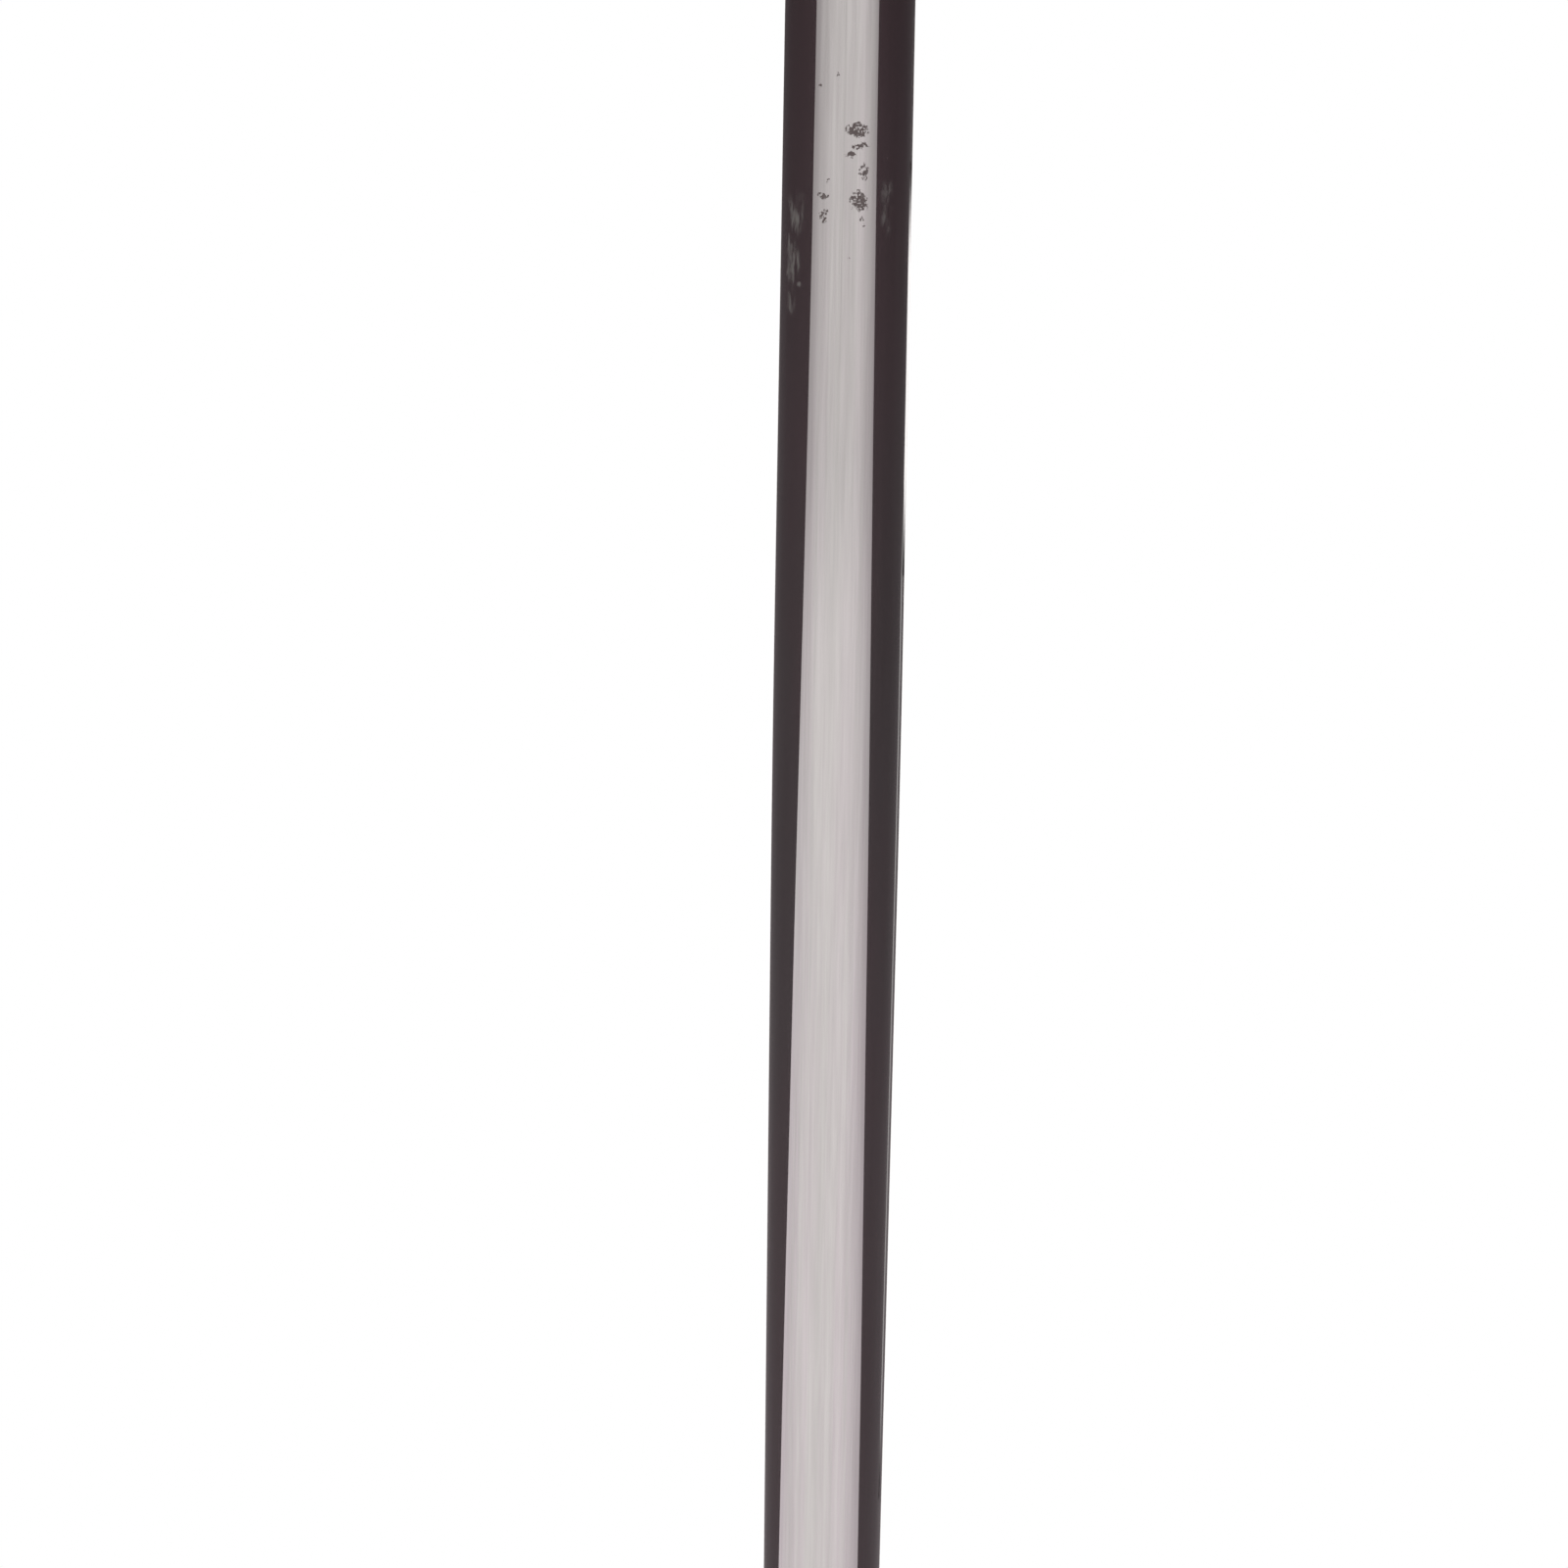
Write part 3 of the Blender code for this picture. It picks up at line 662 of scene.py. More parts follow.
def arc(centre, radius, start, end, count=8):
    """Points on a circle, from start to end in degrees. 0 is outwards and 90 is up."""
    points = []
    for step in range(count + 1):
        angle = math.radians(start + (end - start) * step / count)
        points.append((centre[0] + radius * math.cos(angle), centre[1] + radius * math.sin(angle)))
    return points


def side(radius, start, end, step):
    """A straight side at one radius, with a row at least every step."""
    count = max(1, math.ceil(abs(end - start) / step))
    return [(radius, start + (end - start) * i / count) for i in range(count + 1)]


def ring(points):
    """Closes a profile that doesn't touch the axis."""
    return [*points, points[0]]


plain_lathe = lathe("Lathe")

# %% [markdown]
# ## The shaft
#
# A cane's shaft is a turned taper. This one is nearly straight from the handle to its middle
# and then tapers steadily to the tip, and the turner has eased the one into the other. That is
# a rule, so it is written as one: two straight tapers that meet at the middle height, less a
# parabola that rounds off the corner. The profile marks the points of its outer skin with a
# radius of -1, and only those follow the rule. The turned-down ends and the bores keep their own.

# %% Write the taper as a rule
ON_SKIN = -1.0  # the radius that marks a point of the outer skin


def taper_rule(tree, given, radius, height, angle):
    above = minus(tree, height, given["Middle Height"])
    upper = times(tree, calc(tree, "MAXIMUM", above, 0.0), given["Upper Taper"])
    lower = times(tree, calc(tree, "MINIMUM", above, 0.0), given["Lower Taper"])
    half = times(tree, given["Easing"], 0.5)
    near = calc(tree, "MAXIMUM", minus(tree, half, calc(tree, "ABSOLUTE", above)), 0.0)
    corner = minus(tree, given["Lower Taper"], given["Upper Taper"])
    eased = calc(tree, "DIVIDE", times(tree, near, near, corner), times(tree, half, 4.0))
    straight = plus(tree, given["Middle Radius"], plus(tree, upper, lower))
    on_skin = calc(tree, "LESS_THAN", radius, 0.0)
    return blend(tree, on_skin, radius, minus(tree, straight, eased))


taper_lathe = lathe(
    "Tapered shaft",
    (
        ("Middle Height", "Float", 0.46),
        ("Middle Radius", "Float", 0.011),
        ("Upper Taper", "Float", 0.001),
        ("Lower Taper", "Float", 0.008),
        ("Easing", "Float", 0.05),
    ),
    taper_rule,
)

# %% Turn the shaft
MIDDLE_HEIGHT = 0.460
MIDDLE_RADIUS = 0.01095
EASING = 0.052
TURNED_DOWN = 0.0004
FERRULE_STEP = 0.0004
FERRULE_WALL = 0.0008
EDGE = 0.0004
SHANK_RADIUS = 0.0016  # the end button's shank, which is driven into the shaft's foot
SKIN_START = 0.0002  # the first row of the skin, which keeps the shoulder sharp
SKIN_STEP = 0.006

shaft_bottom, shaft_top, shaft_radius = measure("shaft")
collar_bottom, collar_top, collar_radius = measure("collar")
ferrule_bottom, ferrule_top, ferrule_radius = measure("ferrule")
bush_bottom, _, bush_radius = measure("shaft_bush")
stud_bottom, stud_top, stud_radius = measure("handle_stud")
button_bottom, button_top, button_radius = measure("ferrule_end_button")

shoulder = collar_bottom - GAP
foot = ferrule_top + GAP
upper_taper = (shaft_radius - MIDDLE_RADIUS) / (shoulder - MIDDLE_HEIGHT)
lower_taper = (MIDDLE_RADIUS - (ferrule_radius - FERRULE_STEP)) / (MIDDLE_HEIGHT - ferrule_top)
print(f"taper in 100 mm: {upper_taper * 200:.2f} mm over the middle, {lower_taper * 200:.2f} under it")


def shaft_profile():
    seat = shaft_radius - TURNED_DOWN
    bore = bush_radius + GAP
    pilot = stud_radius + GAP
    shank_hole = SHANK_RADIUS + GAP
    shank_top = button_top + GAP
    points = [(0.0, stud_bottom - GAP), (pilot, stud_bottom - GAP)]
    points += [(pilot, bush_bottom - GAP), (bore, bush_bottom - GAP)]
    points += [(bore, shaft_top - EDGE), (bore + EDGE, shaft_top)]
    points += arc((seat - EDGE, shaft_top - EDGE), EDGE, 90, 0, 4)
    points += [(seat, shoulder), (ON_SKIN, shoulder)]
    points += side(ON_SKIN, shoulder - SKIN_START, foot, SKIN_STEP)
    points += [(ferrule_radius - FERRULE_WALL - GAP, foot)]
    points += [(button_radius, shaft_bottom), (shank_hole, shaft_bottom)]
    points += [(shank_hole, shank_top), (0.0, shank_top)]
    return points


shaft = turn(
    "shaft_lacquered",
    shaft_profile(),
    taper_lathe,
    lacquer,
    {
        "Sides": 160,
        "Middle Height": MIDDLE_HEIGHT,
        "Middle Radius": MIDDLE_RADIUS,
        "Upper Taper": upper_taper,
        "Lower Taper": lower_taper,
        "Easing": EASING,
    },
)

# %% [markdown]
# Only the outer skin is lacquered. The seats for the collar and the ferrule, the end faces and
# the bores are bare wood, so their faces get the second material.

# %% Leave the ends bare


def bare_ends(mesh):
    mesh.materials.append(wood)
    bare = 0
    for face in mesh.polygons:
        on_seat = face.center.z > shoulder or face.center.z < foot
        in_bore = math.hypot(face.center.x, face.center.y) < bush_radius + 2 * GAP
        if on_seat or in_bore:
            face.material_index = 1
            bare += 1
    return bare


print(bare_ends(shaft.data), "faces of", len(shaft.data.polygons), "are bare wood")
join_frame(shaft, "shaft", ["shaft"])

# %% [markdown]
# ## The handle
#
# A derby handle is cast or carved, and its shape runs in every direction at once, so it is
# modelled as a coarse cage that a subdivision surface rounds off. The cage is a row of
# eight-sided rings from the palm end, where the heel of the hand rests, to the nose, which
# hooks down in front of the forefinger. Smoothing shrinks a ring by a known share, and each
# ring is made larger by that share, so that the finished handle has its real width.

# %% Lay out the sections of the grip
handle_low, handle_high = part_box("handle")
handle_bottom, handle_top = handle_low.z, handle_high.z
PALM_REACH = 0.082  # from the shaft's axis to the palm's end
GRIP_LENGTH = 0.128
GRIP_WIDTH = 0.031
GRIP_THICKNESS = 0.025
CREST = 0.5325  # where the middle of the grip lies under its top, as a share of its thickness
CORNERS = 8
SMOOTHED = (2 + math.cos(math.tau / CORNERS)) / 3  # what smoothing leaves of a ring's radius

# Place along the grip (1 palm, 0 shaft, -1 nose), drop, height and width as shares, lean.
GRIP_SECTIONS = (
    (1.00, 0.06, 0.46, 0.44, 4),
    (0.96, 0.04, 0.82, 0.80, 4),
    (0.84, 0.00, 1.00, 0.98, 3),
    (0.66, 0.00, 1.03, 1.01, 2),
    (0.44, 0.02, 1.00, 0.95, 0),
    (0.24, 0.02, 1.04, 0.90, -2),
    (0.00, 0.00, 1.10, 0.88, 0),
    (-0.42, 0.02, 1.04, 0.86, 8),
    (-0.64, 0.11, 0.95, 0.83, 24),
    (-0.79, 0.28, 0.82, 0.77, 44),
    (-0.86, 0.52, 0.68, 0.67, 62),
    (-0.88, 0.74, 0.40, 0.44, 74),
)


def grip_point(section, corner):
    along, drop, tall, wide, lean = GRIP_SECTIONS[section]
    reach = PALM_REACH if along > 0 else GRIP_LENGTH - PALM_REACH
    angle = math.tau * corner / CORNERS
    across = GRIP_WIDTH / 2 * wide / SMOOTHED * math.cos(angle)
    up = GRIP_THICKNESS / 2 * tall / SMOOTHED * math.sin(angle)
    tilt = math.radians(lean)
    centre = handle_top - GRIP_THICKNESS * (CREST + drop)
    return Vector((along * reach - up * math.sin(tilt), across, centre + up * math.cos(tilt)))


# %% [markdown]
# The neck grows out of four faces on the underside, which are left out, with the point that they
# share. Each ring of it starts as the outline of that hole and is blended towards a circle. At
# the bottom the neck is closed by a flat ring and the bore for the brass insert. Creased edges
# keep those corners crisp: a crease tells the subdivision surface not to round that edge.

# %% Build the cage and grow the neck
NECK_SECTION, NECK_CORNER = 6, 6  # the cage point that the neck replaces
# The eight cage points round it, in order.
ROOT = ((5, 5), (5, 6), (5, 7), (6, 7), (7, 7), (7, 6), (7, 5), (6, 5))
NECK_SET_IN = 0.0013  # the neck is this much slimmer than the collar's beads
NECK_CHAMFER = 0.0005
BORE_PAST_STUD = 0.0042

neck_radius = collar_radius - NECK_SET_IN
bore_radius = bush_radius + GAP
bore_top = stud_top + BORE_PAST_STUD


def neck_steps():
    """The neck's rings from the root down and up the bore: roundness, radius, height, crease."""
    length = handle_top - GRIP_THICKNESS * (CREST + 0.5) - handle_bottom
    chamfered = handle_bottom + NECK_CHAMFER
    return (
        (0.62, neck_radius, handle_bottom + 0.72 * length, 0),
        (1.0, neck_radius, handle_bottom + 0.34 * length, 0),
        (1.0, neck_radius, chamfered, 1),
        (1.0, neck_radius - NECK_CHAMFER, handle_bottom, 1),
        (1.0, bore_radius + NECK_CHAMFER, handle_bottom, 1),
        (1.0, bore_radius, chamfered, 1),
        (1.0, bore_radius, bore_top, 1),
    )


def neck_outline(section, corner, roundness, radius, height):
    outline = grip_point(section, corner)
    direction = Vector((NECK_SECTION - section, corner - NECK_CORNER, 0)).normalized()
    place = outline.lerp(direction * radius / SMOOTHED, roundness)
    place.z = height
    return place


def round_corners():
    """Each corner of a ring with the one after it."""
    return [(corner, (corner + 1) % CORNERS) for corner in range(CORNERS)]


def grip_cage(cage):
    """The grip's rings of points, joined by faces, with the hole for the neck."""
    rings = [
        [cage.verts.new(grip_point(section, corner)) for corner in range(CORNERS)]
        for section in range(len(GRIP_SECTIONS))
    ]
    for section, (ring_now, ring_next) in enumerate(zip(rings, rings[1:])):
        for corner, after in round_corners():
            beside = section in (NECK_SECTION - 1, NECK_SECTION)
            if beside and corner in (NECK_CORNER - 1, NECK_CORNER):
                continue
            quad = (ring_now[corner], ring_now[after], ring_next[after], ring_next[corner])
            cage.faces.new(quad)
    for end in (rings[0], rings[-1]):
        cage.faces.new(end)
    bmesh.ops.delete(cage, geom=[rings[NECK_SECTION][NECK_CORNER]], context="VERTS")
    return rings


def handle_cage():
    cage = bmesh.new()
    rings = grip_cage(cage)
    creased = cage.edges.layers.float.new("crease_edge")
    loop = [rings[section][corner] for section, corner in ROOT]
    for roundness, radius, height, crease in neck_steps():
        new = [
            cage.verts.new(neck_outline(section, corner, roundness, radius, height))
            for section, corner in ROOT
        ]
        for i, after in round_corners():
            cage.faces.new((loop[i], loop[after], new[after], new[i]))
        for i, after in round_corners():
            cage.edges.get((new[i], new[after]))[creased] = crease
        loop = new
    cage.faces.new(loop)
    bmesh.ops.recalc_face_normals(cage, faces=cage.faces)
    return cage


# %% Smooth the handle
SMOOTHINGS = 4
FIT = 0.9992


def fit_lengthwise(obj, node):
    """Finer smoothing lengthens a shape by a hair, so it is drawn in to its solid's box."""
    low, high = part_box(node)
    for vert in obj.data.vertices:
        vert.co.x *= FIT
    ends = [vert.co.x for vert in obj.data.vertices]
    print(f"{obj.name}: {min(ends) - low.x:.6f} and {high.x - max(ends):.6f} m inside its solid")
    return obj


def make_handle():
    mesh = bpy.data.meshes.new("handle_moulded")
    cage = handle_cage()
    cage.to_mesh(mesh)
    cage.free()
    mesh.materials.append(resin)
    obj = new_object(mesh.name, mesh)
    smooth = obj.modifiers.new("Smooth", "SUBSURF")
    smooth.levels = smooth.render_levels = SMOOTHINGS
    keep_mesh(obj)
    return fit_lengthwise(obj, "handle")


handle = make_handle()
join_frame(handle, "handle", ["handle"])

# %% [markdown]
# ## The collar and the ferrule
#
# Two sleeves protect the ends of the wood: the collar, with a rolled bead at each end, where
# the handle bears on the shaft, and the ferrule at the foot. The beads are milled, which means
# that a wheel has pressed a row of fine notches round them. On the lathe that is one rule: the
# radius dips by the notch's depth many times in a turn, and only as far up the bead as the
# wheel reaches.

# %% Write the milling rule


def evenly_round(tree, angle, count):
    """A wave from 0 to 1 that comes count times in a turn."""
    wave = calc(tree, "COSINE", times(tree, angle, count))
    return plus(tree, times(tree, wave, 0.5), 0.5)


def milling_rule(tree, given, radius, height, angle):
    notch = times(tree, evenly_round(tree, angle, given["Notches"]), given["Depth"])
    reach = ramp(tree, radius, given["Plain Radius"], given["Milled Radius"])
    return minus(tree, radius, times(tree, notch, reach))


milled_lathe = lathe(
    "Milled sleeve",
    (
        ("Notches", "Float", 72.0),
        ("Depth", "Float", 0.0001),
        ("Plain Radius", "Float", 0.0122),
        ("Milled Radius", "Float", 0.0131),
    ),
    milling_rule,
)

# %% Turn the collar
BEAD = 0.0009
SLEEVE_WALL = 0.0009
SLEEVE_LINES = (0.0030, 0.0036)  # how far each fine line is from its bead's middle
LINE_RADIUS = 0.00012
FILLET = 0.0002
collar_inner = shaft_radius - TURNED_DOWN + GAP
collar_outer = collar_inner + SLEEVE_WALL


def cut_line(radius, height, line_radius=LINE_RADIUS):
    """A fine half-round groove."""
    return arc((radius, height), line_radius, 90, 270, 4)


def collar_profile():
    high, low = collar_top - BEAD, collar_bottom + BEAD
    points = [(collar_inner, collar_top)]
    points += arc((collar_outer, high), BEAD, 90, -90, 16)
    points += [(collar_outer, high - BEAD - FILLET)]
    for line in SLEEVE_LINES:
        points += cut_line(collar_outer, high - line)
    points += [(collar_outer, low + SLEEVE_LINES[-1] + FILLET)]
    for line in reversed(SLEEVE_LINES):
        points += cut_line(collar_outer, low + line)
    points += [(collar_outer, low + BEAD + FILLET)]
    points += arc((collar_outer, low), BEAD, 90, -90, 16)
    points += [(collar_inner, collar_bottom)]
    return ring(points)


collar = turn(
    "collar_milled",
    collar_profile(),
    milled_lathe,
    nickel,
    {
        "Sides": 504,
        "Notches": 84.0,
        "Depth": 0.00022,
        "Plain Radius": collar_outer + 0.0003,
        "Milled Radius": collar_radius,
    },
)
join_frame(collar, "shaft", ["collar"])

# %% [markdown]
# The ferrule is plain and slightly tapered, with a rolled upper edge and two fine lines. Its
# lower end is turned in a little round the steel button that closes it.

# %% Turn the ferrule
FERRULE_TAPER = 0.0004
FERRULE_LINES = (0.0030, 0.0037)
FERRULE_LINE_RADIUS = 0.00013
TURNED_IN = 0.0003


def ferrule_profile():
    edge = FERRULE_WALL / 2
    foot_radius = ferrule_radius - FERRULE_TAPER
    points = arc((ferrule_radius - edge, ferrule_top - edge), edge, 180, 0, 12)
    slope = FERRULE_TAPER / (ferrule_top - ferrule_bottom)
    for line in FERRULE_LINES:
        radius = ferrule_radius - slope * line
        points += cut_line(radius, ferrule_top - line, FERRULE_LINE_RADIUS)
    points += [
        (foot_radius, ferrule_bottom + TURNED_IN),
        (foot_radius - TURNED_IN, ferrule_bottom),
        (foot_radius - FERRULE_WALL, ferrule_bottom),
    ]
    return ring(points)


ferrule = turn("ferrule_drawn", ferrule_profile(), plain_lathe, nickel, {"Sides": 144})
join_frame(ferrule, "shaft", ["ferrule"])

# %% [markdown]
# ## The pins
#
# Small round-headed pins hold each sleeve, one in front and one behind. A pin is turned once,
# and Geometry Nodes spreads as many points as are asked for evenly round the sleeve, and puts a
# copy at each. Each copy is turned so that its own Z axis points away from the cane. The pins
# of a pair move together, so they are one piece.

# %% Scatter the pins
PIN_HEAD = 0.0013
PIN_DOME = 0.0008
PIN_SHANK = 0.0006
PIN_LENGTH = 0.0045
QUARTER_TURN = 0.25  # the first pin is at the front, a quarter of a turn before +X


def pin_tree():
    tree, given = start_tree(
        "Pins round a sleeve",
        (
            ("Count", "Int", 2),
            ("Ring Radius", "Float", 0.0125),
            ("Height", "Float", 0.5),
            ("Pin", "Object", None),
            ("Material", "Material", None),
        ),
    )
    number = add(tree, "GeometryNodeInputIndex").outputs[0]
    share = minus(tree, calc(tree, "DIVIDE", number, given["Count"]), QUARTER_TURN)
    place = on_circle(tree, given["Ring Radius"], times(tree, share, math.tau), 0.0)
    inputs = {"Count": given["Count"], "Position": place}
    points = add(tree, "GeometryNodePoints", inputs).outputs[0]
    position = add(tree, "GeometryNodeInputPosition").outputs[0]
    outwards = add(tree, "FunctionNodeAlignRotationToVector", {"Vector": position}, axis="Z")
    pin = add(tree, "GeometryNodeObjectInfo", {"Object": given["Pin"]}).outputs["Geometry"]
    inputs = {"Points": points, "Instance": pin, "Rotation": outwards.outputs[0]}
    copies = add(tree, "GeometryNodeInstanceOnPoints", inputs).outputs[0]
    lift = add(tree, "ShaderNodeCombineXYZ", {"Z": given["Height"]}).outputs[0]
    inputs = {"Geometry": copies, "Translation": lift}
    raised = add(tree, "GeometryNodeTransform", inputs).outputs[0]
    return end_tree(tree, raised, given["Material"])


dome = arc((0.0, 0.0), 1.0, 78, 6, 6)
pin_profile = [(0.0, PIN_DOME)] + [(PIN_HEAD * out, PIN_DOME * up) for out, up in dome]
pin_profile += [(PIN_HEAD, 0.0), (PIN_SHANK, 0.0)]
pin_profile += [(PIN_SHANK, PIN_SHANK * 2 - PIN_LENGTH), (0.0, -PIN_LENGTH)]
one_pin = turn("one_pin", pin_profile, plain_lathe, nickel, {"Sides": 32})
pins_on_circle = pin_tree()

for sleeve in ("collar", "ferrule"):
    names = [f"{sleeve}_pin_front", f"{sleeve}_pin_back"]
    low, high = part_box(names[1])
    pins = new_profile(f"{sleeve}_pins", [])
    run_tree(
        pins,
        pins_on_circle,
        {
            "Count": len(names),
            "Ring Radius": high.y - PIN_DOME,
            "Height": (low.z + high.z) / 2,
            "Pin": one_pin,
            "Material": nickel,
        },
    )
    keep_mesh(pins)
    join_frame(pins, "shaft", names)
bpy.data.objects.remove(one_pin)

# %% [markdown]
# ## The screw joint
#
# A steel stud is glued into a brass bush in the shaft, and the handle's own brass insert winds
# onto the half that stands out. A screw thread on a lathe is a radius that depends on height
# and angle together: a point's place in the thread is its height divided by the pitch, less
# its share of a turn, and only the fraction of that number counts. Subtracting the angle makes
# a right-hand thread, and adding it would make a left-hand one.
#
# The hexagon socket in the stud's top is cut by the same rule in another form. The distance
# from the centre to the side of a hexagon depends only on the angle, so the profile marks the
# points of the socket's wall with a negative radius and the rule puts them on the hexagon.

# %% Write the thread rule
PITCH = 0.00125
SAME_RADIUS = 0.00001


def thread_rule(tree, given, radius, height, angle):
    share = calc(tree, "DIVIDE", angle, math.tau)
    turns = minus(tree, calc(tree, "DIVIDE", height, given["Pitch"]), share)
    saw = minus(tree, times(tree, calc(tree, "FRACT", turns), 2.0), 1.0)
    groove = ramp(tree, calc(tree, "ABSOLUTE", saw), 0.12, 0.88)
    bottom, top, run_out = given["Bottom"], given["Top"], given["Run Out"]
    above = ramp(tree, height, bottom, plus(tree, bottom, run_out))
    below = ramp(tree, height, minus(tree, top, run_out), top, 1.0, 0.0)
    on_thread = calc(tree, "COMPARE", radius, given["Thread Radius"], SAME_RADIUS)
    depth = times(tree, groove, above, below, on_thread, given["Depth"])

    sixth = times(tree, calc(tree, "FRACT", times(tree, share, 6.0)), math.tau / 6)
    off_middle = calc(tree, "COSINE", minus(tree, sixth, math.tau / 12))
    hexagon = calc(tree, "DIVIDE", times(tree, radius, -1.0), off_middle)
    on_hexagon = calc(tree, "LESS_THAN", radius, 0.0)
    return blend(tree, on_hexagon, minus(tree, radius, depth), hexagon)


thread_lathe = lathe(
    "Threaded stud",
    (
        ("Pitch", "Float", PITCH),
        ("Thread Radius", "Float", 0.004),
        ("Depth", "Float", 0.0007),
        ("Bottom", "Float", 0.0),
        ("Top", "Float", 1.0),
        ("Run Out", "Float", 0.001),
    ),
    thread_rule,
)

# %% Cut the stud
ROWS_IN_A_TURN = 14
SOCKET_HALF_WIDTH = 0.0020
SOCKET_DEPTH = 0.0035
SOCKET_POINT = 0.0007  # the drill's cone at the socket's bottom
SOCKET_CHAMFER = 0.00035
SOCKET_RIM = SOCKET_HALF_WIDTH / math.cos(math.radians(30)) + 0.00015
CHAMFER = 0.0006


def stud_profile():
    corner = stud_radius - CHAMFER
    floor = stud_top - SOCKET_DEPTH
    points = [(0.0, floor - SOCKET_POINT)]
    points += [(-SOCKET_HALF_WIDTH, floor), (-SOCKET_HALF_WIDTH, stud_top - SOCKET_CHAMFER)]
    points += [(SOCKET_RIM, stud_top), (corner, stud_top)]
    points += side(stud_radius, stud_top - CHAMFER, stud_bottom + CHAMFER, PITCH / ROWS_IN_A_TURN)
    points += [(corner, stud_bottom), (0.0, stud_bottom)]
    return points


stud = turn(
    "stud_threaded",
    stud_profile(),
    thread_lathe,
    zinc,
    {
        "Sides": 48,
        "Thread Radius": stud_radius,
        "Depth": 0.00068,
        "Bottom": stud_bottom,
        "Top": stud_top,
        "Run Out": 0.0012,
    },
)
join_frame(stud, "shaft", ["handle_stud"])

# %% [markdown]
# The bush and the insert are the same turned brass sleeve. Outside, a straight knurl with two
# plain grooves gives the glue something to hold. Inside is a thread, cut into the wall. The
# sleeve needs both rules at once, so the tree applies the thread to points at the bore's radius
# and the knurl to points at the outer radius.

# %% Turn the bush and the insert


def sleeve_rule(tree, given, radius, height, angle):
    bored = thread_rule(tree, given, radius, height, angle)
    outside = calc(tree, "COMPARE", radius, given["Knurl Radius"], SAME_RADIUS)
    ridge = times(tree, evenly_round(tree, angle, given["Knurls"]), given["Knurl Depth"])
    return minus(tree, bored, times(tree, ridge, outside))


sleeve_lathe = lathe(
    "Threaded and knurled sleeve",
    (
        ("Pitch", "Float", PITCH),
        ("Thread Radius", "Float", 0.0043),
        ("Depth", "Float", -0.0004),
        ("Bottom", "Float", 0.0),
        ("Top", "Float", 1.0),
        ("Run Out", "Float", 0.001),
        ("Knurls", "Float", 36.0),
        ("Knurl Depth", "Float", 0.0003),
        ("Knurl Radius", "Float", 0.006),
    ),
    sleeve_rule,
)
SLEEVE_CHAMFER = 0.0005
GLUE_GROOVE = 0.0006
GROOVE_PLACES = (0.36, 0.64)  # as shares of the sleeve's length
BORE_ROWS_IN_A_TURN = 10


def sleeve_profile(bottom, top, outer, inner):
    points = [(outer - SLEEVE_CHAMFER, top), (outer, top - SLEEVE_CHAMFER)]
    for share in GROOVE_PLACES:
        height = top - (top - bottom) * share
        upper, lower = height + GLUE_GROOVE, height - GLUE_GROOVE
        points += [(outer, upper), (outer - GLUE_GROOVE, upper)]
        points += [(outer - GLUE_GROOVE, lower), (outer, lower)]
    points += [(outer, bottom + SLEEVE_CHAMFER), (outer - SLEEVE_CHAMFER, bottom)]
    points += [(inner + SLEEVE_CHAMFER, bottom)]
    step = PITCH / BORE_ROWS_IN_A_TURN
    points += side(inner, bottom + SLEEVE_CHAMFER, top - SLEEVE_CHAMFER, step)
    points += [(inner + SLEEVE_CHAMFER, top)]
    return ring(points)


for node, body in (("shaft_bush", "shaft"), ("handle_insert", "handle")):
    bottom, top, outer = measure(node)
    bore = stud_radius + GAP
    sleeve = turn(
        node + "_knurled",
        sleeve_profile(bottom, top, outer, bore),
        sleeve_lathe,
        brass,
        {
            "Sides": 216,
            "Thread Radius": bore,
            "Depth": -0.00038,
            "Bottom": bottom,
            "Top": top,
            "Knurl Radius": outer,
            "Knurl Depth": 0.00028,
        },
    )
    join_frame(sleeve, body, [node])

# %% [markdown]
# ## Washers and the end button
#
# The fibre washer between the handle and the collar is punched from sheet, so its edges are a
# little rounded. The steel washer in the tip's socket stops the ferrule from cutting through
# the rubber, and the button closes the end of the ferrule, with a shank driven into the wood.

# %% Turn the washers and the button


def washer_profile(bottom, top, inner, outer, edge):
    points = arc((outer - edge, top - edge), edge, 90, 0, 5)
    points += arc((outer - edge, bottom + edge), edge, 0, -90, 5)
    points += arc((inner + edge, bottom + edge), edge, -90, -180, 5)
    points += arc((inner + edge, top - edge), edge, 180, 90, 5)
    return ring(points)


TIP_WASHER_HOLE = 0.0032
# Node, its finished name, body, finish, slot, radius of the hole, how round its edges are.
WASHERS = (
    (
        "handle_washer", "washer_punched", "washer",
        fibre, "red_brown_fibre", stud_radius + GAP, 0.0003,
    ),
    ("tip_washer", "tip_washer_pressed", "tip", zinc, "zinc_steel", TIP_WASHER_HOLE, 0.0004),
)
for node, name, body, finish, slot, hole, edge in WASHERS:
    bottom, top, outer = measure(node)
    washer = turn(name, washer_profile(bottom, top, hole, outer, edge), plain_lathe, finish)
    join_frame(washer, body, [node])

BUTTON_THICKNESS = 0.0030
BUTTON_EDGE = 0.0008
BARBS = (0.0078, 0.0058, 0.0038)  # heights over the button's underside
BARB_LENGTH = 0.0005
BARB_DEPTH = 0.0002
DISH_RADIUS = 0.0030
DISH_DEPTH = 0.0002
CENTRE_MARK = 0.0004


